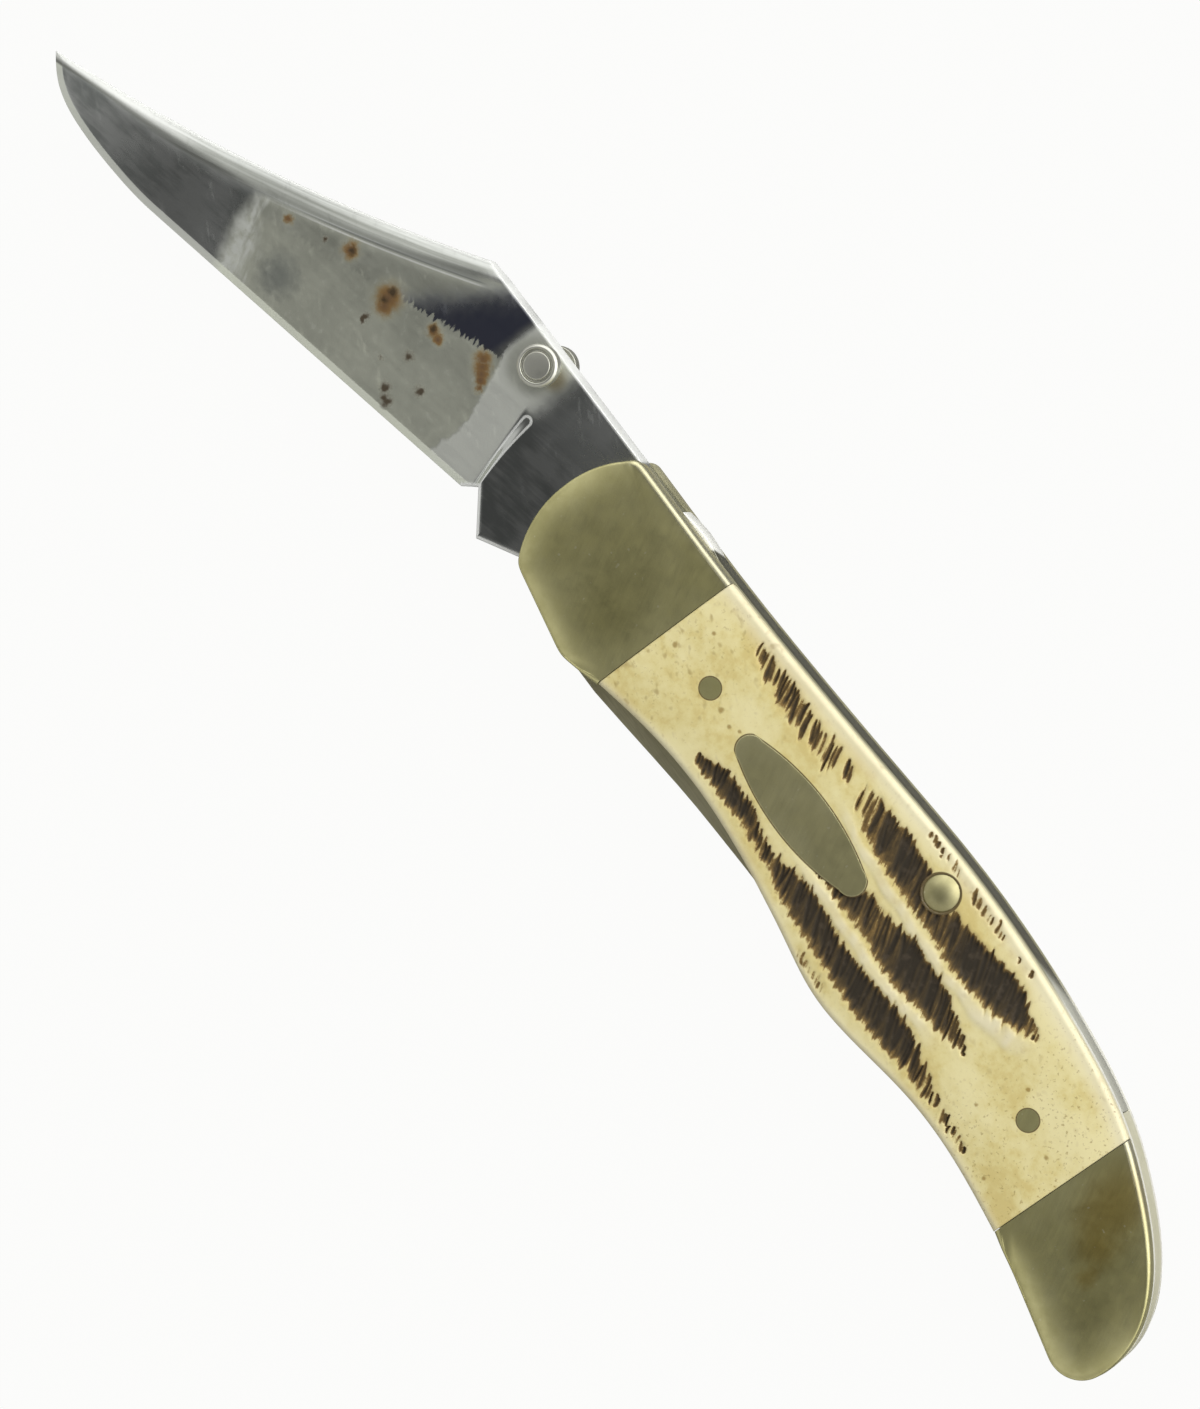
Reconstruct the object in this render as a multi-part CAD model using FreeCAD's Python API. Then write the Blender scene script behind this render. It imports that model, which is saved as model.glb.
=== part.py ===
"""Lockback folding knife with a clip blade, thumb studs, jigged bone scales and plain metal bolsters.

The knife lies open on its right side. The origin is on the blade's pivot axis, in the plane that the
right-hand side rests on. X runs from the pivot to the butt, Y from the belly to the back, Z upwards.
The shield side is the left side. Every length is in millimetres, every angle in degrees.
"""
import FreeCAD, Part
import math
import os

V = FreeCAD.Vector

# Thickness of the layers, from the middle of the knife outwards
blade_thickness = 2.75
side_clearance = 0.10
liner_thickness = 0.70
cover_thickness = 3.90
cover_round = 1.80

# Fits
running_clearance = 0.03
seat_clearance = 0.02

# Stations along the handle
front_joint_x = 8.6
scale_length = 66.8
rear_bolster_length = 17.35

# Handle outline, seen from the left, as (distance, height) places from the stations
nose_back = (-7.0, 9.5)
back_from_front_joint = [(0.0, 10.1), (11.4, 10.95), (23.4, 12.1), (36.4, 13.3)]
back_from_rear_joint = [(-13.4, 13.15), (-5.4, 12.3), (0.0, 11.1)]
back_from_butt = [(-12.75, 9.4), (-8.75, 7.5), (-4.75, 4.85), (-1.75, 1.55)]
butt_radius = 3.6
butt_centre_y = -4.25
belly_from_rear_joint = [(0.0, -4.95), (-8.4, -4.2), (-15.4, -4.5)]
belly_from_front_joint = [(36.9, -6.6), (31.4, -5.95), (27.4, -5.5)]
liner_belly_from_front_joint = [(21.4, -5.75), (16.2, -6.15), (6.1, -7.4), (0.0, -8.2)]
cover_belly_from_front_joint = [(21.4, -4.95), (15.4, -4.7), (9.4, -5.1), (3.4, -6.15), (0.0, -6.95)]
bolster_low_setback = 4.6
bolster_low_y = -8.4
nose_low = (-6.2, -6.75)
nose_via = (-9.75, 2.3)
nose_round = 1.5

# Blade outline in the open position
blade_back_at_pivot = 9.37
clip_corner = (-33.3, 7.95)
clip_via = (-56.7, -6.75)
tip = (-80.05, -17.85)
belly_points = [(-77.5, -19.45), (-72.0, -20.4), (-66.5, -20.1)]
edge_turn_at_tip = 143.0
edge_front = (-60.0, -19.05)
edge_heel = (-16.95, -8.2)
choil = (-15.55, -6.45)
kick = (-11.5, -9.7)
kick_rear = (-6.0, -6.3)

# Blade grinds
grind_height = 10.3
edge_bevel_height = 0.8
edge_bevel_half = 0.28
edge_half = 0.04
grind_run_in = 8.0
plunge_high = (-18.0, 2.5)
plunge_via = (-17.0, -1.9)
plunge_low = (-15.6, -6.6)
swedge_width = 2.3
swedge_half = 0.45

# Tang, pivot and closing motion
closed_angle = 168.0
pivot_pin_radius = 1.6
hidden_pin_cover = 0.9
tang_radius = 5.5
notch_floor = 4.2
notch_front = -0.95
notch_width = 2.3

# Lock bar, its rocker rivet and its spring
tooth_front = -0.75
tooth_width = 1.8
tooth_clearance = 0.15
bar_front_under = 8.25
bar_front_length = 15.5
bar_under = 6.4
bar_slope_length = 5.5
tail_under = 9.9
rocker_setback = 29.85
rocker_y = 10.35
tail_start_from_rocker = 8.5
tail_end_setback = 2.8
rocker_radius = 1.2
rocker_head_radius = 1.95
rocker_head_height = 0.85
rocker_seat_depth = 0.35
spring_length = 15.7
spring_free_end_y = 8.85
spring_eye_setback = 13.55
spring_eye_y = 6.9
spring_thickness = 1.2
spring_nose_radius = 0.9
spring_eye_radius = 1.7
spring_pin_radius = 0.8
spacer_gap = 0.4

# Well for the closed blade, cut into the butt spacer
well_roof_from_butt = [(-16.25, 4.9), (-12.25, 3.9), (-9.35, 2.0), (-8.55, 0.5)]
butt_pin_setback = 4.75
butt_pin_y = -3.0
butt_pin_radius = 1.0

# Pins through one scale and its liner, and bolster rivets
front_pin_distance = 7.2
front_pin_y = 2.95
rear_pin_distance = 7.0
rear_pin_y = 4.65
scale_pin_radius = 1.15
bolster_rivet_distance = 3.6
bolster_rivet_y = -4.6
bolster_rivet_radius = 0.9
bolster_rivet_cover = 1.6

# Shield, let into the left scale
shield_distance = 22.7
shield_y = 3.2
shield_tilt = 3.4
shield_half_length = 9.75
shield_half_width = 2.85
shield_end_length = 1.65
shield_end_half_width = 1.3
shield_thickness = 0.6
shield_rivet_offset = 5.0
shield_rivet_radius = 0.5

# Thumb studs
stud_at = (-21.25, 6.45)
stud_stem_radius = 1.0
stud_waist_radius = 1.7
stud_waist_height = 1.0
stud_head_radius = 2.2
stud_head_height = 1.4
stud_chamfer = 0.25
stud_groove_inner = 1.4
stud_groove_outer = 1.75
stud_groove_depth = 0.3

# Reach of cutting shapes beyond what they cut, and the tolerance for finding an edge by its place
beyond = 20.0
cut_margin = 1.0
tolerance = 1e-4

# Layers worked out from the sizes above, as heights from the middle plane
blade_half = blade_thickness / 2
liner_inner = blade_half + side_clearance
liner_outer = liner_inner + liner_thickness
cover_outer = liner_outer + cover_thickness
middle_z = cover_outer
LEFT = 1
RIGHT = -1


def along(station, places):
    """Places given as (distance, height) from a station of the handle."""
    return [(station + distance, height) for distance, height in places]


# Outline points and pin places worked out from the stations
rear_joint_x = front_joint_x + scale_length
butt_end_x = rear_joint_x + rear_bolster_length
back_points = ([nose_back] + along(front_joint_x, back_from_front_joint)
               + along(rear_joint_x, back_from_rear_joint) + along(butt_end_x, back_from_butt))
rear_belly_points = along(rear_joint_x, belly_from_rear_joint) + along(front_joint_x, belly_from_front_joint)
liner_belly_points = along(front_joint_x, liner_belly_from_front_joint)
cover_belly_points = along(front_joint_x, cover_belly_from_front_joint)
bolster_low = (front_joint_x - bolster_low_setback, bolster_low_y)
rocker_at = (rear_joint_x - rocker_setback, rocker_y)
tail_start = rocker_at[0] + tail_start_from_rocker
tail_end = rear_joint_x - tail_end_setback
spring_eye = (butt_end_x - spring_eye_setback, spring_eye_y)
spring_free_end = (spring_eye[0] - spring_length, spring_free_end_y)
well_roof = along(butt_end_x, well_roof_from_butt)
butt_pin_at = (butt_end_x - butt_pin_setback, butt_pin_y)
front_pin_at = (front_joint_x + front_pin_distance, front_pin_y)
rear_pin_at = (rear_joint_x - rear_pin_distance, rear_pin_y)
bolster_rivet_at = (front_joint_x - bolster_rivet_distance, bolster_rivet_y)
shield_at = (front_joint_x + shield_distance, shield_y)


def at(point, height=0.0):
    """A point of the outline plane at a height above the middle plane."""
    return V(point[0], point[1], middle_z + height)


def line(start, end):
    """A straight edge in the middle plane."""
    return Part.makeLine(at(start), at(end))


def arc(start, via, end):
    """A round edge through three points of the middle plane."""
    return Part.Arc(at(start), at(via), at(end)).toShape()


def curve(points):
    """A smooth edge through a few points of the middle plane."""
    spline = Part.BSplineCurve()
    spline.interpolate([at(point) for point in points])
    return spline.toShape()


def polygon(points):
    """A closed wire of straight edges in the middle plane."""
    corners = [at(point) for point in points]
    return Part.makePolygon(corners + corners[:1])


def prism(wire, low, high):
    """The solid over a closed wire of the middle plane, between two heights."""
    face = Part.Face(wire)
    face.translate(V(0, 0, low))
    return face.extrude(V(0, 0, high - low))


def rod(point, radius, low, high):
    """A round bar across the knife between two heights."""
    return Part.makeCylinder(radius, high - low, at(point, low))


def half_rod(point, radius, side, inner, outer):
    """A round bar across one side of the knife."""
    low, high = sorted((side * inner, side * outer))
    return rod(point, radius, low, high)


def strip(low_x, high_x):
    """A block that keeps the stretch of the handle between two stations."""
    return Part.makeBox(high_x - low_x, 4 * beyond, 4 * beyond, V(low_x, -2 * beyond, middle_z - 2 * beyond))


def butt_edges():
    """The rounded butt corner and the belly line that runs off it to the rear joint."""
    centre = V(butt_end_x - butt_radius, butt_centre_y, 0)
    joint = V(rear_belly_points[0][0], rear_belly_points[0][1], 0)
    reach = centre - joint
    fall = math.atan2(reach.y, reach.x) - math.asin(butt_radius / reach.Length)
    low_turn = fall - math.pi / 2
    half_turn = low_turn / 2
    corner = [(centre.x + butt_radius * math.cos(turn), centre.y + butt_radius * math.sin(turn))
              for turn in (0.0, half_turn, low_turn)]
    return corner[0], [arc(*corner), line(corner[2], rear_belly_points[0])]


def handle_outline(front_belly_points):
    """The closed outline of the handle, with the belly given for its front half."""
    butt_start, butt = butt_edges()
    back = Part.BSplineCurve()
    first_run = V(back_points[1][0] - back_points[0][0], back_points[1][1] - back_points[0][1], 0)
    back.interpolate(Points=[at(point) for point in back_points + [butt_start]],
                     InitialTangent=first_run.normalize(), FinalTangent=V(0, -1, 0))
    edges = [back.toShape()] + butt
    edges += [curve(rear_belly_points + front_belly_points), line(front_belly_points[-1], bolster_low),
              line(bolster_low, nose_low), arc(nose_low, nose_via, back_points[0])]
    return Part.Wire(edges)


def handle_block(front_belly_points, low, high):
    """The handle's outline as a solid between two heights, with the corners of its nose rounded."""
    block = prism(handle_outline(front_belly_points), low, high)
    corners = [at(point, low) for point in (nose_low, back_points[0], bolster_low)]
    upright = [edge for edge in block.Edges
               if len(edge.Vertexes) == 2 and abs(edge.BoundBox.ZLength - (high - low)) < tolerance
               and any(edge.distToShape(Part.Vertex(corner))[0] < tolerance for corner in corners)]
    return block.makeFillet(nose_round, upright)


def handle_layer(front_belly_points, side, inner, outer):
    """The handle's outline as a layer on one side of the middle plane."""
    low, high = sorted((side * inner, side * outer))
    return handle_block(front_belly_points, low, high)


def rounded_cover(block, side, joints):
    """Round the outer rim of a bolster or scale, but not along its joint lines."""
    outer_z = middle_z + side * cover_outer
    rim = []
    for edge in block.Edges:
        box = edge.BoundBox
        on_face = abs(box.ZMin - outer_z) < tolerance and abs(box.ZMax - outer_z) < tolerance
        on_joint = any(abs(box.XMin - x) < tolerance and abs(box.XMax - x) < tolerance for x in joints)
        if on_face and not on_joint:
            rim.append(edge)
    return block.makeFillet(cover_round, rim)


def polar(radius, angle):
    """A point at a radius and angle from the pivot."""
    return (radius * math.cos(math.radians(angle)), radius * math.sin(math.radians(angle)))


def edge_path(run_in=0.0):
    """The cutting edge from the heel to the tip, with a straight run-in before the heel."""
    spline = Part.BSplineCurve()
    points = [at(point) for point in [edge_front] + belly_points[::-1] + [tip]]
    along = (at(edge_front) - at(edge_heel)).normalize()
    at_tip = at(polar(1, edge_turn_at_tip)) - at((0, 0))
    spline.interpolate(Points=points, InitialTangent=along, FinalTangent=at_tip)
    return [Part.makeLine(at(edge_heel) - along * run_in, at(edge_front)), spline.toShape()]


def blade_outline():
    """The closed outline of the open blade and its tang."""
    notch_rear = notch_front + notch_width
    lobe_start = (notch_rear, math.sqrt(tang_radius ** 2 - notch_rear ** 2))
    flat_half_turn = math.degrees(math.acos(notch_floor / tang_radius))
    flat_middle = 90.0 - closed_angle
    lobe_low = flat_middle + flat_half_turn
    lobe_high = math.degrees(math.acos(notch_rear / tang_radius))
    flat_start = polar(tang_radius, lobe_low)
    flat_end = polar(tang_radius, flat_middle - flat_half_turn)
    back_end = (notch_front, blade_back_at_pivot)
    edges = [line(back_end, clip_corner), arc(clip_corner, clip_via, tip)]
    edges += edge_path()
    edges += [line(edge_heel, choil), line(choil, kick), line(kick, kick_rear), line(kick_rear, flat_end),
              line(flat_end, flat_start),
              arc(flat_start, polar(tang_radius, (lobe_low + lobe_high) / 2), lobe_start),
              line(lobe_start, (notch_rear, notch_floor)),
              line((notch_rear, notch_floor), (notch_front, notch_floor)),
              line((notch_front, notch_floor), back_end)]
    return Part.Wire(Part.__sortEdges__(edges))


def swept_cut(path, section):
    """Carry a section of (inward distance, height) points along a path in the middle plane."""
    first = path.Edges[0]
    start = first.valueAt(first.FirstParameter)
    along = first.tangentAt(first.FirstParameter)
    inward = V(along.y, -along.x, 0)
    corners = [start + inward * distance + V(0, 0, height) for distance, height in section]
    wire = Part.makePolygon(corners + corners[:1])
    return path.makePipeShell([wire], True, True)


def blade_grinds(side):
    """The stock ground off one side of the blade: the main grind with its edge bevel, and the swedge."""
    top = side * (blade_half + cut_margin)
    main_section = [(-cut_margin, side * edge_half), (0.0, side * edge_half),
                    (edge_bevel_height, side * edge_bevel_half), (grind_height, side * blade_half),
                    (grind_height, top), (-cut_margin, top)]
    main = swept_cut(Part.Wire(edge_path(grind_run_in)), main_section)
    behind_plunge = Part.Wire([arc(plunge_high, plunge_via, plunge_low),
                               line(plunge_low, (plunge_low[0], -beyond)),
                               line((plunge_low[0], -beyond), (beyond, -beyond)),
                               line((beyond, -beyond), (beyond, beyond)),
                               line((beyond, beyond), (plunge_high[0], beyond)),
                               line((plunge_high[0], beyond), plunge_high)])
    main = main.cut(prism(behind_plunge, -beyond, beyond))
    clip = Part.Wire([arc(tip, clip_via, clip_corner)])
    swedge_section = [(-cut_margin, side * swedge_half), (0.0, side * swedge_half),
                      (swedge_width, side * blade_half), (swedge_width, top), (-cut_margin, top)]
    return [main, swept_cut(clip, swedge_section)]


def make_blade():
    """The blade with its grinds, pivot bore and stud hole."""
    blade = prism(blade_outline(), -blade_half, blade_half)
    for side in (LEFT, RIGHT):
        for cut in blade_grinds(side):
            blade = blade.cut(cut)
    blade = blade.cut(rod((0, 0), pivot_pin_radius + running_clearance, -beyond, beyond))
    return blade.cut(rod(stud_at, stud_stem_radius + seat_clearance, -beyond, beyond))


def make_thumb_stud(side):
    """One thumb stud: a stem in the blade, a waist and a grooved head."""
    waist_top = blade_half + stud_waist_height
    head_top = waist_top + stud_head_height
    stud = half_rod(stud_at, stud_stem_radius, side, 0.0, blade_half)
    stud = stud.fuse(half_rod(stud_at, stud_waist_radius, side, blade_half, waist_top))
    head = half_rod(stud_at, stud_head_radius, side, waist_top, head_top)
    rims = [edge for edge in head.Edges if isinstance(edge.Curve, Part.Circle)]
    head = head.makeChamfer(stud_chamfer, rims)
    groove_floor = head_top - stud_groove_depth
    groove = half_rod(stud_at, stud_groove_outer, side, groove_floor, head_top)
    groove = groove.cut(half_rod(stud_at, stud_groove_inner, side, groove_floor, head_top))
    return stud.fuse(head.cut(groove)).removeSplitter()


def bar_outline():
    """The lock bar's own outline, left open above the handle's back, which trims it."""
    tooth_low = tang_radius + tooth_clearance
    tooth_rear = tooth_front + tooth_width
    slope_end = bar_front_length + bar_slope_length
    return polygon([(tooth_front, beyond), (tooth_front, tooth_low), (tooth_rear, tooth_low),
                    (tooth_rear, bar_front_under), (bar_front_length, bar_front_under),
                    (slope_end, bar_under), (tail_start - (tail_under - bar_under), bar_under),
                    (tail_start, tail_under), (tail_end, tail_under), (tail_end, beyond)])


def make_lock_bar():
    """The lock bar with its tooth, flush with the handle's back, bored for the rocker rivet."""
    bar = prism(bar_outline(), -blade_half, blade_half)
    bar = bar.common(handle_block(liner_belly_points, -blade_half, blade_half))
    return bar.cut(rod(rocker_at, rocker_radius + running_clearance, -beyond, beyond))


def spring_shape(half_width):
    """The leaf of the lock spring with its nose and its eye."""
    root = V(spring_eye[0] - spring_free_end[0], spring_eye[1] - spring_free_end[1], 0)
    across = V(-root.y, root.x, 0).normalize() * (spring_thickness / 2)
    corners = [at(spring_free_end) + across, at(spring_eye) + across,
               at(spring_eye) - across, at(spring_free_end) - across]
    leaf = prism(Part.makePolygon(corners + corners[:1]), -half_width, half_width)
    nose_at = (spring_free_end[0], tail_under - seat_clearance - spring_nose_radius)
    nose = rod(nose_at, spring_nose_radius, -half_width, half_width)
    eye = rod(spring_eye, spring_eye_radius, -half_width, half_width)
    return leaf.fuse([nose, eye]).removeSplitter()


def make_lock_spring():
    """The leaf spring that pushes the bar's tail outwards."""
    spring = spring_shape(blade_half)
    return spring.cut(rod(spring_eye, spring_pin_radius + seat_clearance, -beyond, beyond))


def make_butt_spacer():
    """The spacer between the liners at the butt, with the slot for the spring and the well for the tip."""
    front = tail_end + spacer_gap
    leaf_drop = (spring_free_end[1] - spring_eye[1]) / (spring_eye[0] - spring_free_end[0])
    leaf_at_front = spring_eye[1] + leaf_drop * (spring_eye[0] - front)
    leaf_at_roof = spring_eye[1] + leaf_drop * (spring_eye[0] - well_roof[0][0])
    far_x = butt_end_x + beyond
    keep = polygon([(front, beyond), (front, leaf_at_front), (well_roof[0][0], leaf_at_roof)] + well_roof
                   + [(well_roof[-1][0], -beyond), (far_x, -beyond), (far_x, beyond)])
    spacer = handle_block(liner_belly_points, -liner_inner, liner_inner)
    spacer = spacer.common(prism(keep, -liner_inner, liner_inner))
    spacer = spacer.cut(spring_shape(beyond))
    spacer = spacer.cut(rod(spring_eye, spring_pin_radius + seat_clearance, -beyond, beyond))
    return spacer.cut(rod(butt_pin_at, butt_pin_radius + seat_clearance, -beyond, beyond))


def through_holes():
    """The pins that pass through both liners, as (place, radius)."""
    return [((0, 0), pivot_pin_radius), (rocker_at, rocker_radius), (spring_eye, spring_pin_radius),
            (butt_pin_at, butt_pin_radius), (front_pin_at, scale_pin_radius), (rear_pin_at, scale_pin_radius),
            (bolster_rivet_at, bolster_rivet_radius)]


def make_liner(side):
    """One liner, with a hole for every pin."""
    liner = handle_layer(liner_belly_points, side, liner_inner, liner_outer)
    for point, radius in through_holes():
        liner = liner.cut(rod(point, radius + seat_clearance, -beyond, beyond))
    return liner


def cover_blank(side, low_x, high_x, joints):
    """A bolster or scale before drilling, cut from the handle's outline between two stations."""
    blank = handle_layer(cover_belly_points, side, liner_outer, cover_outer)
    return rounded_cover(blank.common(strip(low_x, high_x)), side, joints)


def make_front_bolster(side):
    """One front bolster, drilled from inside for the pivot pin and its rivet."""
    bolster = cover_blank(side, -beyond, front_joint_x, [front_joint_x])
    for point, radius, skin in (((0, 0), pivot_pin_radius, hidden_pin_cover),
                                (bolster_rivet_at, bolster_rivet_radius, bolster_rivet_cover)):
        bolster = bolster.cut(half_rod(point, radius + seat_clearance, side, 0.0, cover_outer - skin))
    return bolster


def make_rear_bolster(side):
    """One rear bolster, drilled from inside for the spring pin and the butt pin."""
    bolster = cover_blank(side, rear_joint_x, butt_end_x + beyond, [rear_joint_x])
    reach = cover_outer - hidden_pin_cover
    for point, radius in ((spring_eye, spring_pin_radius), (butt_pin_at, butt_pin_radius)):
        bolster = bolster.cut(half_rod(point, radius + seat_clearance, side, 0.0, reach))
    return bolster


def shield_outline(clearance):
    """The long oval of the shield: two wide arcs closed by two small ones, turned on its centre."""
    half = shield_half_length + clearance
    side = shield_half_width + clearance
    shoulder = shield_half_length - shield_end_length
    end = shield_end_half_width + clearance
    wire = Part.Wire([arc((-shoulder, end), (0, side), (shoulder, end)),
                      arc((shoulder, end), (half, 0), (shoulder, -end)),
                      arc((shoulder, -end), (0, -side), (-shoulder, -end)),
                      arc((-shoulder, -end), (-half, 0), (-shoulder, end))])
    wire.rotate(at((0, 0)), V(0, 0, 1), shield_tilt)
    wire.translate(V(shield_at[0], shield_at[1], 0))
    return wire


def shield_rivet_places():
    """The two rivets behind the shield, on its long axis."""
    turn = math.radians(shield_tilt)
    return [(shield_at[0] + step * math.cos(turn), shield_at[1] + step * math.sin(turn))
            for step in (-shield_rivet_offset, shield_rivet_offset)]


def make_scale(side):
    """One bone scale; the left one also takes the shield and the seat of the rocker rivet's head."""
    scale = cover_blank(side, front_joint_x, rear_joint_x, [front_joint_x, rear_joint_x])
    for point, radius in ((front_pin_at, scale_pin_radius), (rear_pin_at, scale_pin_radius),
                          (rocker_at, rocker_radius)):
        scale = scale.cut(rod(point, radius + seat_clearance, -beyond, beyond))
    if side == LEFT:
        floor = cover_outer - shield_thickness
        scale = scale.cut(prism(shield_outline(seat_clearance), floor, cover_outer + cut_margin))
        for point in shield_rivet_places():
            scale = scale.cut(rod(point, shield_rivet_radius + seat_clearance, 0.0, cover_outer))
        seat = cover_outer - rocker_seat_depth
        scale = scale.cut(rod(rocker_at, rocker_head_radius + seat_clearance, seat, cover_outer + cut_margin))
    return scale


def make_rocker_rivet():
    """The lock bar's pivot: a shank across the handle with a domed head on the left side."""
    seat = cover_outer - rocker_seat_depth
    shank = rod(rocker_at, rocker_radius, -cover_outer, seat)
    ball = (rocker_head_radius ** 2 + rocker_head_height ** 2) / (2 * rocker_head_height)
    dome = Part.makeSphere(ball, at(rocker_at, seat + rocker_head_height - ball))
    dome = dome.common(rod(rocker_at, rocker_head_radius, seat, seat + rocker_head_height))
    return shank.fuse(dome).removeSplitter()


def pair(shape_for):
    """One piece on each side, as a group."""
    return Part.makeCompound([shape_for(LEFT), shape_for(RIGHT)])


def scale_pins(point):
    """A pair of pins, each through one scale and its liner, flush at both ends."""
    return pair(lambda side: half_rod(point, scale_pin_radius, side, liner_inner, cover_outer))


def make_bolster_rivets():
    """A pair of rivets, each from one liner into its front bolster."""
    reach = cover_outer - bolster_rivet_cover
    return pair(lambda side: half_rod(bolster_rivet_at, bolster_rivet_radius, side, liner_inner, reach))


def hidden_pin(point, radius):
    """A pin across the handle whose ends stop inside the bolsters."""
    reach = cover_outer - hidden_pin_cover
    return rod(point, radius, -reach, reach)


def make_shield_rivets():
    """The two rivets that hold the shield through the left scale."""
    high = cover_outer - shield_thickness
    return Part.makeCompound([rod(point, shield_rivet_radius, liner_outer, high)
                              for point in shield_rivet_places()])


def make_parts():
    """Every piece of the knife by name."""
    return {
        "blade": make_blade(),
        "left_thumb_stud": make_thumb_stud(LEFT),
        "right_thumb_stud": make_thumb_stud(RIGHT),
        "pivot_pin": hidden_pin((0, 0), pivot_pin_radius),
        "left_front_bolster": make_front_bolster(LEFT),
        "right_front_bolster": make_front_bolster(RIGHT),
        "left_rear_bolster": make_rear_bolster(LEFT),
        "right_rear_bolster": make_rear_bolster(RIGHT),
        "left_liner": make_liner(LEFT),
        "right_liner": make_liner(RIGHT),
        "left_scale": make_scale(LEFT),
        "right_scale": make_scale(RIGHT),
        "shield": prism(shield_outline(0.0), cover_outer - shield_thickness, cover_outer),
        "shield_rivets": make_shield_rivets(),
        "lock_bar": make_lock_bar(),
        "lock_spring": make_lock_spring(),
        "butt_spacer": make_butt_spacer(),
        "rocker_rivet": make_rocker_rivet(),
        "front_scale_pins": scale_pins(front_pin_at),
        "rear_scale_pins": scale_pins(rear_pin_at),
        "spring_pin": hidden_pin(spring_eye, spring_pin_radius),
        "butt_pin": hidden_pin(butt_pin_at, butt_pin_radius),
        "front_bolster_rivets": make_bolster_rivets(),
    }


os.makedirs("parts", exist_ok=True)
for name, shape in make_parts().items():
    shape.exportStep("parts/" + name + ".step")
    print(name, "solids", len(shape.Solids), "volume", round(shape.Volume, 2), "valid", shape.isValid())
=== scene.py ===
"""Looks of a lockback folding knife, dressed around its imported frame.

Sizes are millimetres in the knife's own frame: the blade's pivot stands at x 0, y 0, the tip points
along -x, the back of the handle faces +y, and the knife rests on its right side at z 0. Heights inside
a class are measured from the knife's middle plane. Meshes turn millimetres into metres when made.
"""
import logging
import math
from collections.abc import Callable, Mapping, Sequence
from dataclasses import dataclass, field
from enum import Enum

import bmesh
import bpy
import numpy as np
from mathutils import Matrix, Vector


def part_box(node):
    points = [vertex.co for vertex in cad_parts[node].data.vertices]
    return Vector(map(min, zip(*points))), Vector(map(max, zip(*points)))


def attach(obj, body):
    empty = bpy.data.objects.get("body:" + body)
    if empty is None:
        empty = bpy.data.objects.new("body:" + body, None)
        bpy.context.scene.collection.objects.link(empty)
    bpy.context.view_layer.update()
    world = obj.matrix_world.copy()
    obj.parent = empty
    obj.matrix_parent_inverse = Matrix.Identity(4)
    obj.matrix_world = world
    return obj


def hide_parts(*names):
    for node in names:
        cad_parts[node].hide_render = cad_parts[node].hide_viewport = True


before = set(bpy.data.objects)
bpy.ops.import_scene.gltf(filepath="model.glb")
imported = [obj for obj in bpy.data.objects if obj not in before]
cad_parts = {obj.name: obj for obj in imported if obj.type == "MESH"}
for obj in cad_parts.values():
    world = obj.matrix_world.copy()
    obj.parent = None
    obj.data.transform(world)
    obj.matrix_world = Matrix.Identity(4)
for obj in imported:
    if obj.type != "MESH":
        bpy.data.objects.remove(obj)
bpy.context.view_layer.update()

MM = 0.001
STEP = 0.1
MERGE = 2e-5
BELL_PER_RADIUS = 0.42
LOG = logging.getLogger("knife")

Place = tuple[float, float]
Spot = tuple[float, float, float]
Colour = tuple[float, float, float, float]


class Side(Enum):
    """A side of the knife; its value is the sign of heights on that side of the middle plane."""

    LEFT = 1
    RIGHT = -1


def srgb(red: float, green: float, blue: float) -> Colour:
    """A colour written as it looks on a screen, 0 to 255, turned into the linear values of a socket.

    Args:
        red: red on the screen.
        green: green on the screen.
        blue: blue on the screen.

    Returns:
        The linear red, green, blue and an alpha of 1.
    """
    shown = np.array([red, green, blue]) / 255.0
    linear = np.where(shown <= 0.04045, shown / 12.92, ((shown + 0.055) / 1.055) ** 2.4)
    return (*linear.tolist(), 1.0)


# Curves in the plane of the outlines


def line(start: Place, end: Place) -> np.ndarray:
    """Evenly spaced points on the straight run from start to end."""
    count = max(2, int(math.dist(start, end) / STEP) + 1)
    return np.linspace(start, end, count)


def arc_circle(start: Place, via: Place, end: Place) -> tuple[np.ndarray, float]:
    """The circle through three places.

    The centre is where the bisectors of start-via and start-end cross: for each of the two places q,
    2 (q - start) . centre = |q|^2 - |start|^2.

    Args:
        start: first place.
        via: a place between the ends.
        end: last place.

    Returns:
        The centre and the radius.
    """
    a, b, c = (np.array(p, float) for p in (start, via, end))
    sides = 2.0 * np.array([b - a, c - a])
    squares = np.array([b @ b - a @ a, c @ c - a @ a])
    centre = np.linalg.solve(sides, squares)
    return centre, float(np.linalg.norm(a - centre))


def arc(start: Place, via: Place, end: Place) -> np.ndarray:
    """Points on the arc through three places: centre + radius (cos t, sin t), t in even steps.

    Args:
        start: first place.
        via: a place between the ends.
        end: last place.

    Returns:
        An array of points, (n, 2).
    """
    centre, radius = arc_circle(start, via, end)
    first, middle, last = (math.atan2(p[1] - centre[1], p[0] - centre[0]) for p in (start, via, end))
    turn = (last - first) % math.tau
    if (middle - first) % math.tau > turn:
        turn -= math.tau
    angles = first + np.linspace(0.0, turn, max(4, int(abs(turn) * radius / STEP)))
    return centre + radius * np.stack([np.cos(angles), np.sin(angles)], axis=-1)


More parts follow.
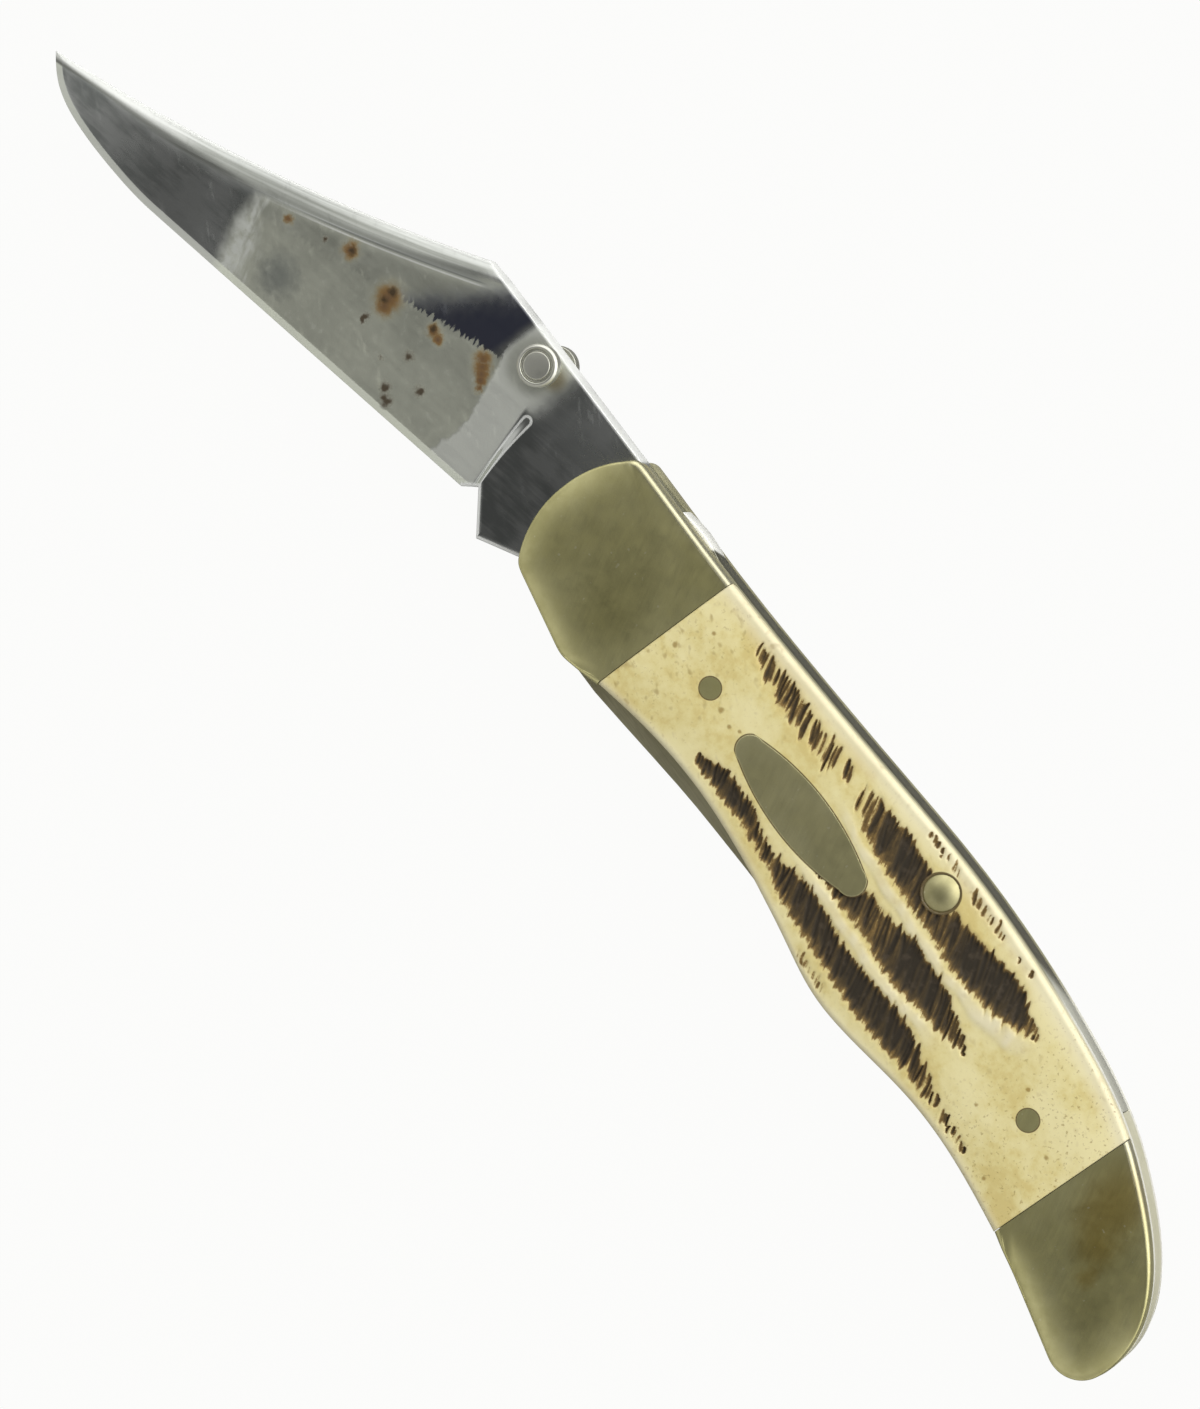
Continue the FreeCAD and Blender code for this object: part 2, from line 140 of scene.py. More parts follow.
def spline(places: Sequence[Place], start: Place | None = None, end: Place | None = None) -> np.ndarray:
    """A smooth curve through a few places.

    A cubic in the running chord length joins each pair of places. Its slopes are solved so that the
    second derivative is continuous, and zero at an end that has no given direction.

    Args:
        places: the places, in order.
        start: direction at the first place, or None.
        end: direction at the last place, or None.

    Returns:
        An array of points about STEP apart, (n, 2).
    """
    p = np.asarray(places, float)
    gap = np.linalg.norm(np.diff(p, axis=0), axis=1)
    knot = np.concatenate([[0.0], np.cumsum(gap)])
    count = len(p)
    rows, right = np.zeros((count, count)), np.zeros((count, 2))
    inner = np.arange(1, count - 1)
    rows[inner, inner - 1] = 1.0 / gap[:-1]
    rows[inner, inner] = 2.0 / gap[:-1] + 2.0 / gap[1:]
    rows[inner, inner + 1] = 1.0 / gap[1:]
    pull = np.diff(p, axis=0) / gap[:, None] ** 2
    right[1:-1] = 3.0 * (pull[:-1] + pull[1:])
    rows[0, :2], right[0] = (2.0, 1.0), 3.0 * pull[0] * gap[0]
    rows[-1, -2:], right[-1] = (1.0, 2.0), 3.0 * pull[-1] * gap[-1]
    for row, direction in ((0, start), (-1, end)):
        if direction is not None:
            rows[row] = 0.0
            rows[row, row] = 1.0
            right[row] = np.array(direction) / math.hypot(*direction)
    slope = np.linalg.solve(rows, right)
    at = np.linspace(0.0, knot[-1], int(knot[-1] / STEP) + 2)
    i = np.clip(np.searchsorted(knot, at, side="right") - 1, 0, count - 2)
    s, h = ((at - knot[i]) / gap[i])[:, None], gap[i][:, None]
    return ((1 + 2 * s) * (1 - s) ** 2 * p[i] + s * (1 - s) ** 2 * h * slope[i]
            + s ** 2 * (3 - 2 * s) * p[i + 1] + s ** 2 * (s - 1) * h * slope[i + 1])


def joined(*pieces: np.ndarray) -> np.ndarray:
    """Runs laid end to end as one path, without the repeated points between them."""
    return np.concatenate([pieces[0], *(piece[1:] for piece in pieces[1:])])


def lengths(path: np.ndarray) -> np.ndarray:
    """Running length at each point of a path."""
    return np.concatenate([[0.0], np.cumsum(np.linalg.norm(np.diff(path, axis=0), axis=1))])


def along(path: np.ndarray, length: np.ndarray) -> np.ndarray:
    """Points of a path at given running lengths."""
    run = lengths(path)
    return np.stack([np.interp(length, run, path[:, k]) for k in range(path.shape[1])], axis=-1)


def softened(path: np.ndarray, radius: float) -> np.ndarray:
    """A path with its corners rounded.

    The path is stepped evenly and blurred by a bell curve along its length; it is carried on through
    each end by a half turn about that end, so the ends stay where they are.

    Args:
        path: the sharp path.
        radius: about the radius that a right-angled corner gets.

    Returns:
        The rounded path.
    """
    even = along(path, np.arange(0.0, lengths(path)[-1], STEP))
    even = np.concatenate([even, path[-1:]])
    sigma = BELL_PER_RADIUS * radius / STEP
    reach = int(3 * sigma)
    bell = np.exp(-0.5 * (np.arange(-reach, reach + 1) / sigma) ** 2)
    before = 2 * even[0] - even[reach:0:-1]
    after = 2 * even[-1] - even[-2:-reach - 2:-1]
    padded = np.concatenate([before, even, after])
    return np.stack([np.convolve(padded[:, k], bell / bell.sum(), "valid") for k in (0, 1)], axis=-1)


def left_of(path: np.ndarray) -> np.ndarray:
    """Unit vectors to the left of the direction of travel at each point of a path."""
    run = np.gradient(path, axis=0)
    run /= np.linalg.norm(run, axis=1, keepdims=True)
    return np.stack([-run[:, 1], run[:, 0]], axis=-1)


def carried(path: np.ndarray, length: float) -> np.ndarray:
    """Every sixth point of a path, carried on straight before its start by a length."""
    ahead = path[0] - path[5]
    return np.concatenate([[path[0] + ahead / np.linalg.norm(ahead) * length], path[::6], path[-1:]])


def distance_to(x: np.ndarray, y: np.ndarray, path: np.ndarray) -> np.ndarray:
    """Shortest distance from each place to a path: the least of the distances to its segments.

    Args:
        x: the places' x.
        y: the places' y, of the same shape.
        path: the path, (n, 2).

    Returns:
        The distances, of the places' shape.
    """
    least = np.full(x.shape, np.inf)
    path = path[np.concatenate([[True], np.any(np.diff(path, axis=0) != 0.0, axis=1)])]
    for a, b in zip(path[:-1], path[1:]):
        run = b - a
        share = np.clip(((x - a[0]) * run[0] + (y - a[1]) * run[1]) / (run @ run), 0.0, 1.0)
        least = np.minimum(least, np.hypot(x - a[0] - share * run[0], y - a[1] - share * run[1]))
    return least


def read(table: Sequence[Place] | np.ndarray, x: np.ndarray | float) -> np.ndarray:
    """Values at x of a table of (x, value) places, along straight lines between them."""
    return np.interp(x, *np.asarray(table, float).T)


def ease(value: np.ndarray, low: float, high: float) -> np.ndarray:
    """Smooth step from 0 at low to 1 at high: 3 s^2 - 2 s^3."""
    s = np.clip((value - low) / (high - low), 0.0, 1.0)
    return s * s * (3.0 - 2.0 * s)


def soft_least(a: np.ndarray, b: np.ndarray, width: float) -> np.ndarray:
    """The lesser of two heights, with the crease between them rounded over a difference of width."""
    s = np.clip(0.5 + 0.5 * (b - a) / width, 0.0, 1.0)
    return b * (1.0 - s) + a * s - width * s * (1.0 - s)


# Meshes


def shell(name: str, stacks: Sequence[np.ndarray], values: Mapping[str, np.ndarray] | None = None,
          caps: tuple[bool, bool] = (True, True), sharp: float = 40.0) -> bpy.types.Object:
    """A closed skin over one or more stacks of rings.

    Ring i and ring i + 1 of a stack are joined by quads, each ring closes on itself, and the first and
    last rings are closed by a flat face. A ring drawn together to one point is merged into a pole.

    Args:
        name: name of the object and its mesh.
        stacks: arrays (rings, points around, 3), in millimetres.
        values: numbers kept on the points as attributes, for a single stack, (rings, points around).
        caps: whether the first and the last ring get a face.
        sharp: angle in degrees above which an edge between two faces stays sharp.

    Returns:
        The object, at the origin.
    """
    faces, offset = [], 0
    for rings in stacks:
        count, around = rings.shape[:2]
        index = offset + np.arange(count * around).reshape(count, around)
        on = np.roll(index, -1, axis=1)
        quads = np.stack([index[:-1], index[1:], on[1:], on[:-1]], axis=-1).reshape(-1, 4)
        faces += quads.tolist()
        faces += [ring.tolist() for ring, wanted in zip((index[0], index[-1]), caps) if wanted]
        offset += count * around
    mesh = bpy.data.meshes.new(name)
    points = np.concatenate([rings.reshape(-1, 3) for rings in stacks]) * MM
    mesh.from_pydata(points, [], faces)
    for label, numbers in (values or {}).items():
        layer = mesh.attributes.new(label, "FLOAT", "POINT")
        layer.data.foreach_set("value", np.ascontiguousarray(numbers, np.float32).ravel())
    work = bmesh.new()
    work.from_mesh(mesh)
    bmesh.ops.remove_doubles(work, verts=work.verts, dist=MERGE * MM)
    bmesh.ops.recalc_face_normals(work, faces=work.faces)
    work.to_mesh(mesh)
    work.free()
    mesh.shade_smooth()
    mesh.set_sharp_from_angle(angle=math.radians(sharp))
    piece = bpy.data.objects.new(name, mesh)
    bpy.context.scene.collection.objects.link(piece)
    return piece


def turned(centre: Place, profile: Sequence[Place], middle: float, side: Side, count: int = 72) -> np.ndarray:
    """A profile spun about an axis across the knife: (r cos a, r sin a, height) for each angle a.

    Args:
        centre: where the axis stands.
        profile: (radius, height from the middle plane) places.
        middle: height of the middle plane.
        side: the side that the heights are measured towards.
        count: number of steps round the axis.

    Returns:
        A stack of rings.
    """
    radius, height = np.array(profile, float).T[:, :, None]
    angle = np.linspace(0.0, math.tau, count, endpoint=False)[None, :]
    flat = np.broadcast_to(middle + side.value * height, (len(profile), count))
    return np.stack([centre[0] + radius * np.cos(angle), centre[1] + radius * np.sin(angle), flat], axis=-1)


def rounded_profile(corners: Sequence[Place], radius: float) -> list[Place]:
    """A lathe profile with each inner corner replaced by five points of a curve that rounds it.

    The curve is the parabola (1-t)^2 a + 2 t (1-t) corner + t^2 b between points a and b at radius
    from the corner, or at 0.45 of the run where that is shorter.

    Args:
        corners: (radius, height) corners from one end of the profile to the other.
        radius: distance from the corner at which the rounding starts.

    Returns:
        The places of the rounded profile.
    """
    places = [corners[0]]
    t = np.linspace(0.0, 1.0, 5)[:, None]
    for before, corner, after in zip(corners[:-2], corners[1:-1], corners[2:]):
        middle = np.array(corner)
        ends = []
        for other in (before, after):
            run = np.array(other) - middle
            reach = np.linalg.norm(run)
            ends.append(middle + run * min(radius / reach, 0.45))
        curve = (1 - t) ** 2 * ends[0] + 2 * t * (1 - t) * middle + t ** 2 * ends[1]
        places += [tuple(place) for place in curve]
    return places + [corners[-1]]


# Shader expressions


def operator(operation: str, swapped: bool = False) -> Callable[..., "Term"]:
    """A method for Term that adds a Math node on the term and another value.

    Args:
        operation: the node's operation.
        swapped: whether the other value comes first.

    Returns:
        The method.
    """
    def apply(self: "Term", other: "Term | float" = 0.0) -> "Term":
        """The result of the Math node."""
        first, second = (other, self) if swapped else (self, other)
        return self.graph.node("Math", {"operation": operation}, {0: first, 1: second})
    return apply


class Term:
    """A socket that can stand in Python arithmetic; each operation on single values adds a Math node.

    Of two masks, & is the lesser, where both hold, and | the greater, where either holds.
    """

    def __init__(self, graph: "Graph", socket: bpy.types.NodeSocket) -> None:
        """Keep the socket and the graph that it belongs to."""
        self.graph = graph
        self.socket = socket

    def out(self, name: str) -> "Term":
        """Another output of the same node."""
        return Term(self.graph, self.socket.node.outputs[name])

    __add__ = __radd__ = operator("ADD")
    __mul__ = __rmul__ = operator("MULTIPLY")
    __and__ = __rand__ = operator("MINIMUM")
    __or__ = __ror__ = operator("MAXIMUM")
    __sub__, __rsub__ = operator("SUBTRACT"), operator("SUBTRACT", swapped=True)
    __truediv__, __rtruediv__ = operator("DIVIDE"), operator("DIVIDE", swapped=True)
    __abs__ = operator("ABSOLUTE")


Number = Term | float


class Graph:
    """A node tree that is filled by expressions."""

    def __init__(self, tree: bpy.types.NodeTree) -> None:
        """Empty the tree."""
        self.tree = tree
        self.tree.nodes.clear()

    def node(self, kind: str, settings: Mapping[str, object] | None = None,
             sockets: Mapping[str | int, object] | None = None, out: str | int = 0) -> Term:
        """Add a node.

        Args:
            kind: the node's type without its ShaderNode prefix.
            settings: properties that are set first; "stops" gives a ramp's (place, colour) pairs.
            sockets: values or terms for its inputs, by name or number.
            out: the output to return.

        Returns:
            The chosen output.
        """
        made = self.tree.nodes.new("ShaderNode" + kind)
        for key, value in (settings or {}).items():
            if key == "stops":
                elements = made.color_ramp.elements
                while len(elements) < len(value):
                    elements.new(1.0)
                for element, (place, colour) in zip(elements, value):
                    element.position = place
                    element.color = colour
            else:
                setattr(made, key, value)
        for key, value in (sockets or {}).items():
            if isinstance(value, Term):
                self.tree.links.new(value.socket, made.inputs[key])
            else:
                made.inputs[key].default_value = value
        return Term(self, made.outputs[out] if made.outputs else made.inputs[0])

    def place(self) -> Term:
        """The piece's own coordinates, in millimetres."""
        metres = self.node("TexCoord", out="Object")
        return self.node("VectorMath", {"operation": "SCALE"}, {0: metres, "Scale": 1.0 / MM})

    def axes(self, vector: Term) -> tuple[Term, Term, Term]:
        """The x, y and z of a vector."""
        x = self.node("SeparateXYZ", None, {0: vector}, "X")
        return x, x.out("Y"), x.out("Z")

    def attribute(self, name: str) -> Term:
        """A number kept on the points of the mesh."""
        return self.node("Attribute", {"attribute_name": name}, None, "Fac")

    def noise(self, vector: Term, scale: float, detail: float = 2.0, rough: float = 0.5) -> Term:
        """Cloudy noise, about 0.5 on average; scale is in waves per millimetre."""
        return self.node("TexNoise", None, {"Vector": vector, "Scale": scale, "Detail": detail,
                                            "Roughness": rough})

    def drawn(self, vector: Term, turn: float, scale: Spot, detail: float = 2.0, rough: float = 0.5) -> Term:
        """Noise that is drawn out: its vector is first turned about z by degrees, then scaled by axis."""
        spun = self.node("Mapping", None, {"Vector": vector, "Rotation": (0.0, 0.0, math.radians(turn))})
        return self.noise(self.node("Mapping", None, {"Vector": spun, "Scale": scale}), 1.0, detail, rough)

    def step(self, value: Number, low: Number, high: Number) -> Term:
        """Smooth step from 0 at low to 1 at high; low may be the greater."""
        return self.node("MapRange", {"interpolation_type": "SMOOTHSTEP"},
                         {"Value": value, "From Min": low, "From Max": high})

    def mix(self, first: Term | Colour, second: Term | Colour, share: Number) -> Term:
        """A colour between two, by a share from 0 to 1."""
        return self.node("Mix", {"data_type": "RGBA"}, {0: share, 6: first, 7: second}, 2)

    def coats(self, colour: Term | Colour, *coats: tuple[Term | Colour, Number]) -> Term:
        """A colour under coats that are laid on in turn, each given with its share."""
        for tint, share in coats:
            colour = self.mix(colour, tint, share)
        return colour

    def ramp(self, value: Term, stops: Sequence[tuple[float, Colour]]) -> Term:
        """A colour from a ramp."""
        return self.node("ValToRGB", {"stops": stops}, {"Fac": value}, "Color")

    def from_point(self, flat: Term, centre: Place) -> Term:
        """Distance in the outline plane from a place; flat has no z."""
        return self.node("VectorMath", {"operation": "DISTANCE"}, {0: flat, 1: (*centre, 0.0)}, "Value")

    def spots(self, flat: Term, spots: Sequence[Spot], wobble: Term, outer: float, inner: float) -> Number:
        """A mask of round spots with uneven borders: the greatest of the spots' own masks.

        Args:
            flat: the place in the outline plane.
            spots: (x, y, radius) of each spot.
            wobble: what is added to the distance from a spot's centre.
            outer: share of the radius at which a spot starts.
            inner: share of the radius at which it is full.

        Returns:
            The mask.
        """
        found = 0.0
        for x, y, radius in spots:
            near = self.from_point(flat, (x, y)) + wobble
            found = self.step(near, radius * outer, radius * inner) | found
        return found

    def flat(self, x: Term, y: Term) -> Term:
        """A vector in the outline plane."""
        return self.node("CombineXYZ", None, {"X": x, "Y": y})

    def bump(self, height: Term, strength: float, distance: float) -> Term:
        """A normal roughened by a height, in millimetres of distance."""
        return self.node("Bump", None, {"Height": height, "Strength": strength, "Distance": distance * MM})

    def surface(self, **sockets: object) -> None:
        """A principled shader, led to the material's output; a socket's name has _ for its spaces."""
        named = {key.replace("_", " "): value for key, value in sockets.items()}
        self.node("OutputMaterial", None, {"Surface": self.node("BsdfPrincipled", None, named, "BSDF")})


def material(name: str) -> tuple[bpy.types.Material, Graph]:
    """A new material and its empty graph."""
    made = bpy.data.materials.new(name)
    made.use_nodes = True
    return made, Graph(made.node_tree)


# Finishes


@dataclass(frozen=True)
class NickelSilver:
    """Worn nickel silver: yellow-grey metal with brown-olive tarnish, hairline scratches and small nicks."""

    name: str = "nickel_silver"
    bright: Colour = srgb(218, 212, 156)
    dull: Colour = srgb(196, 190, 134)
    stain: Colour = srgb(176, 154, 78)
    # colour of the painted shading in the middles of the bolster faces
    painted_shade: Colour = srgb(170, 164, 110)
    # pale colour of the rubbed back rims, laid on as a painted highlight
    worn: Colour = srgb(204, 201, 182)
    stains: tuple[Spot, ...] = ()
    painted_shades: tuple[Spot, ...] = ()
    roughness: float = 0.42

    def make(self) -> bpy.types.Material:
        """Tarnish follows slow noise and the (x, y, radius) stains; painted_shades are painted shading;
        scratches run across.

        Returns:
            The material.
        """
        made, g = material(self.name)
        at = g.place()
        x, y, _ = g.axes(at)
        flat = g.flat(x, y)
        cloud = g.noise(at, 0.13, 3.0, 0.55)
        mottle = g.noise(at, 0.7, 4.0, 0.6)
        wander = (mottle - 0.5) * 2.2 + (cloud - 0.5) * 3.0
        hair = g.drawn(at, 62.0, (0.35, 9.0, 3.0))
        fine = g.noise(at, 6.0, 3.0, 0.7)
        nick = g.step(g.noise(at, 1.6, 1.0), 0.73, 0.79)
        marks = [(self.painted_shade, spot) for spot in self.painted_shades] + [(self.stain, spot) for spot in self.stains]
        colour = g.coats(
            self.bright,
            (self.dull, g.step(cloud * 0.7 + mottle * 0.3, 0.36, 0.62)),
            # painted shading darkens the middles of the faces at the painted_shades spots; the stains are
            # real tarnish
            *((tint, g.spots(flat, [spot], wander, 1.0, 0.1) * 0.6) for tint, spot in marks),
            (srgb(236, 232, 200), nick * 0.35),
            # painted highlight: the rubbed back rims are painted pale
            (self.worn, g.attribute("worn") * 0.9))
        g.surface(Base_Color=colour, Metallic=1.0,
                  Roughness=self.roughness + (mottle - 0.5) * 0.16 + (hair - 0.5) * 0.1,
                  Normal=g.bump(hair * 0.5 + fine * 0.35 + nick * 0.5, 0.12, 0.02))
        return made


@dataclass(frozen=True)
class PlainSteel:
    """Springs, liners and studs: grey steel with grinding lines along the knife and faint tarnish."""

    name: str
    bright: Colour
    dull: Colour
    roughness: float
    grain: Spot = (0.5, 7.0, 7.0)
    metallic: float = 1.0
    tail: Place = (900.0, 901.0)

    def make(self) -> bpy.types.Material:
        """Grinding lines are noise drawn out along x, over slow tarnish; past the tail it is pale and matt.

        Returns:
            The material.
        """
        made, g = material(self.name)
        at = g.place()
        cloud = g.noise(at, 0.22, 3.0)
        lines = g.drawn(at, 0.0, self.grain, 3.0, 0.6)
        late = g.step(g.axes(at)[0], *self.tail)
        colour = g.coats(self.bright, (self.dull, g.step(cloud * 0.6 + lines * 0.4, 0.35, 0.65)),
                         (srgb(226, 225, 214), late))
        g.surface(Base_Color=colour, Metallic=self.metallic * (1.0 - late),
                  Roughness=self.roughness + (lines - 0.5) * 0.2 + (cloud - 0.5) * 0.1,
                  Normal=g.bump(lines, 0.2, 0.02))
        return made


@dataclass(frozen=True)
class BarSteel:
    """The lock bar's steel: dark along the back, a painted reflection at the front end, and light towards the
    tail.
    """

    name: str = "bar_steel"
    dark: Colour = srgb(128, 127, 112)
    light: Colour = srgb(252, 252, 246)
    tail: Colour = srgb(180, 180, 168)
    # x span of the painted reflection at the bar's front end
    front_reflection: Place = (-1.5, 4.6)
    tail_light: Place = (56.5, 61.0)
    middle: float = 6.0

    def make(self) -> bpy.types.Material:
        """Two soft changes along x set how light the steel is; fine lines run along the bar.

        Returns:
            The material.
        """
        made, g = material(self.name)
        at = g.place()
        x, _, z = g.axes(at)
        aside = z - self.middle
        # painted reflection: a near-white, almost matt patch at the bar's front end
        slant = x + aside * 0.35
        start, end = self.front_reflection
        front = g.step(slant, start - 0.4, start + 0.1) & g.step(slant, end + 0.3, end - 0.2)
        tail = g.step(slant + aside * 0.8, *self.tail_light)
        lines = g.drawn(at, 0.0, (0.25, 6.0, 9.0), 3.0, 0.6)
        cloud = g.noise(at, 0.3, 3.0)
        light = (front | tail) & 1.0
        colour = g.coats(self.dark, (self.tail, tail + (cloud - 0.5) * 0.2), (self.light, front * 0.94))
        g.surface(Base_Color=colour, Metallic=1.0 - light * 0.95, Roughness=0.3 + (lines - 0.5) * 0.2,
                  Normal=g.bump(lines, 0.15, 0.015))
        return made


@dataclass(frozen=True)
class BladeSteel:
    """Polished blade steel with a hazed middle, smears, a mirror-bright patch with a painted dark reflection,
    and rust.

    Where the polish is whole the metal is smooth and mirrors its surroundings; the haze is rougher.
    Rust and its dark specks are given as (x, y, radius) places on the left side.
    """

    name: str = "blade_steel"
    clean: Colour = srgb(205, 207, 203)
    haze: Colour = srgb(208, 210, 194)
    smear: Colour = srgb(226, 228, 222)
    # colour of the painted dark reflection on the mirror-bright patch
    painted_dark_reflection: Colour = srgb(118, 122, 146)
    shadow_at: Place = (-46.0, -11.4)
    # centre of the painted shadow of the thumb stud
    stud_at: Place = (-22.0, 5.6)
    stud_reflection_at: Place = (-19.3, 6.6)
    rust: tuple[Spot, ...] = (
        (-43.2, -3.4, 0.95), (-36.8, -2.9, 1.5), (-36.4, -3.8, 1.1), (-31.2, -1.0, 0.75), (-30.2, -1.1, 0.6),
        (-25.7, 1.6, 0.95), (-25.1, 1.1, 0.95), (-24.6, 0.6, 0.85), (-24.1, 0.1, 0.7), (-23.6, -0.4, 0.5),
        (-49.9, -7.0, 0.55))
    specks: tuple[Spot, ...] = (
        (-37.0, -2.2, 0.5), (-36.9, -3.4, 0.45), (-43.1, -3.3, 0.45), (-31.3, -0.9, 0.4), (-30.7, -4.7, 0.6),
        (-27.2, -6.0, 0.6), (-28.6, -9.6, 0.7), (-29.0, -9.5, 0.6), (-29.8, -8.9, 0.6), (-36.8, -6.1, 0.35),
        (-36.9, -6.7, 0.3), (-45.8, -5.0, 0.35), (-32.6, -7.3, 0.3))

    def make(self, middle: float) -> bpy.types.Material:
        """Zones are masks on the piece's own coordinates with noisy borders, laid over each other in turn.

        Args:
            middle: height of the blade's middle plane.

        Returns:
            The material.
        """
        made, g = material(self.name)
        at = g.place()
        x, y, z = g.axes(at)
        flat = g.flat(x, y)
        left = g.step(z, middle - 0.2, middle + 0.2)
        edge, clip, border, groove = (g.attribute(name) for name in ("edge", "clip", "border", "groove"))
        cloud = g.noise(at, 0.16, 3.0)
        fine = g.noise(at, 1.1, 4.0, 0.6)
        grain = g.drawn(at, 70.0, (0.4, 8.0, 1.0), 3.0, 0.6)
        teeth = g.drawn(flat, -24.0, (2.4, 0.7, 1.0))
        fingers = g.drawn(flat, 62.0, (0.5, 2.2, 1.0))
        scuffs = g.drawn(at, -14.0, (0.16, 1.1, 1.0), 4.0, 0.65)
        wisps = g.step(g.drawn(at, 28.0, (0.3, 1.0, 1.0), 4.0, 0.65), 0.56, 0.72)
        along_clip = g.node("CombineXYZ", None, {"X": clip * 1.7, "Y": x * 0.035, "Z": z * 0.2})
        streaks = g.noise(along_clip, 1.0, 3.0, 0.6)
        wavy = (fine - 0.5) * 1.6 + (cloud - 0.5) * 1.5

        # Zones of the surface
        from_tip = x + 53.7 - (y + 9.0) * (y + 9.0) * 0.044 + wavy * 0.5
        heel = -21.6 - ((y + 3.5) | 0.0) * 0.45 + wavy * 0.7
        over = y - (2.5 + (x + 26.3) * 0.446) + (teeth - 0.5) * 2.6
        aslant = x - y * 0.55 + (fine - 0.5) * 2.0 + (cloud - 0.5) * 2.5
        cloudy = g.step(aslant, -30.5, -35.0)
        hazed = g.step(from_tip, -1.1, 1.3) & g.step(x - heel, 0.35, -0.25)
        hazed = hazed & (g.step(over, 0.25, -0.15) | cloudy * 0.85) & g.step(clip, 1.3, 2.1)
        smeared = g.step(from_tip + (fingers - 0.5) * 5.0 + g.step(y, -12.0, -8.5) * 2.4, 4.8, 1.6) & hazed
        # painted dark reflection on the mirror-bright patch near the back
        painted_dark_reflection = g.step(clip + wavy * 0.8, 2.6, 4.4) | g.step(x, -33.0, -30.5)
        painted_dark_reflection = painted_dark_reflection & g.step(x + wavy * 0.25, -25.0, -26.2) & g.step(over, -0.1, 0.3)
        painted_dark_reflection = painted_dark_reflection & g.step(aslant, -36.5, -30.5)
        high = g.step(y, 1.6, 2.8)
        pale = g.step(x + (y + 2.0) * 0.28, -17.5, -17.9) * (1.0 - high)
        pale = pale + g.step(x + wavy * 0.6, -16.0, -19.4) * high
        pale = pale & g.step(x - heel, -0.2, 0.3) & g.step(x + wavy * 0.3, -25.8, -24.6)
        bevel = g.step(edge, 0.86, 0.74) & g.step(x, -15.6, -16.6)
        foot = clip / (0.4 + 0.6 * g.step(x, -77.0, -58.0))
        swedge = g.step(foot, 2.8, 2.1) & g.step(x, -30.0, -33.5)
        folds = g.step(x, -56.0, -44.0) & g.step(x, -31.0, -32.5)
        # painted highlight lines on both edges of the plunge, joined to those on the spine and tang
        border = border | g.step(abs(groove - 1.0), 0.42, 0.14) * 0.8
        crust = g.spots(flat, self.rust, (fine - 0.5) * 1.5, 2.0, -0.6) * left
        pits = g.spots(flat, self.specks, (fine - 0.5) * 1.4, 1.5, 0.2) * left
        rusted = crust | pits

        # Colour
        hollow = g.step(cloud, 0.42, 0.62) * 0.5 + g.step(edge, 4.0, 11.0) * 0.5
        shadow = g.step(g.from_point(flat, self.shadow_at) + wavy * 1.3, 3.4, 0.4) * hazed
        # painted shadow of the thumb stud on the pale zone
        stud = g.step(g.from_point(flat, self.stud_at), 3.6, 2.2)
        # painted amber reflection of the thumb stud
        amber = g.step(g.from_point(flat, self.stud_reflection_at), 1.7, 0.4)
        # painted reflection: the upper ricasso is lighter
        upper = g.step(y + wavy, -0.5, 4.5) * g.step(x, -18.6, -16.5)
        # painted reflection: the swedge's sheen, whiter towards the tip
        sheen = g.ramp(foot / 3.0 + (streaks - 0.5) * 1.3, [
            (0.05, srgb(186, 188, 183)), (0.3, srgb(162, 164, 158)), (0.5, srgb(146, 148, 141)),
            (0.75, srgb(160, 162, 156)), (1.0, srgb(200, 202, 198))])
        sheen = g.mix(sheen, srgb(234, 235, 231), g.step(x, -60.0, -72.0) * g.step(foot, 2.2, 0.8))
        bloom = g.ramp(crust + (fine - 0.5) * 0.6, [
            (0.15, srgb(160, 148, 108)), (0.4, srgb(140, 110, 54)), (0.65, srgb(116, 82, 32)),
            (0.95, srgb(84, 54, 20))])
        colour = g.coats(
            self.clean,
            (srgb(150, 154, 150), g.step(cloud + (scuffs - 0.5) * 0.6, 0.40, 0.66) * 0.8),
            (self.haze, hazed),
            (srgb(182, 184, 170), hazed * hollow),
            (srgb(224, 226, 214), hazed * g.step(fine, 0.58, 0.74) * 0.3),
            (srgb(150, 154, 148), shadow * 0.75),
            (self.smear, smeared * g.step(fine, 0.2, 0.6) * 0.85),
            # painted dark reflection
            (self.painted_dark_reflection, painted_dark_reflection * 0.92),
            (srgb(238, 240, 230), pale * 0.85 | bevel * 0.8),
            (srgb(190, 192, 180), pale * stud * 0.8),
            (srgb(150, 132, 84), amber * 0.6),
            (srgb(240, 242, 238), upper * 0.25),
            (sheen, swedge),
            (srgb(92, 94, 90), g.step(abs(foot - 2.3), 0.16, 0.04) * folds * 0.5),
            (srgb(236, 237, 233), g.step(abs(foot - 2.62), 0.14, 0.04) * folds * 0.7),
            # painted highlight inside the plunge groove
            (srgb(206, 208, 202), g.step(groove, 1.0, 0.6) * 0.8),
            # painted highlight lines on the spine, the tang's lower edges and the plunge
            (srgb(238, 239, 235), border),
            (bloom, g.step(crust, 0.02, 0.65) * 0.94),
            (srgb(62, 48, 26), pits * 0.95))

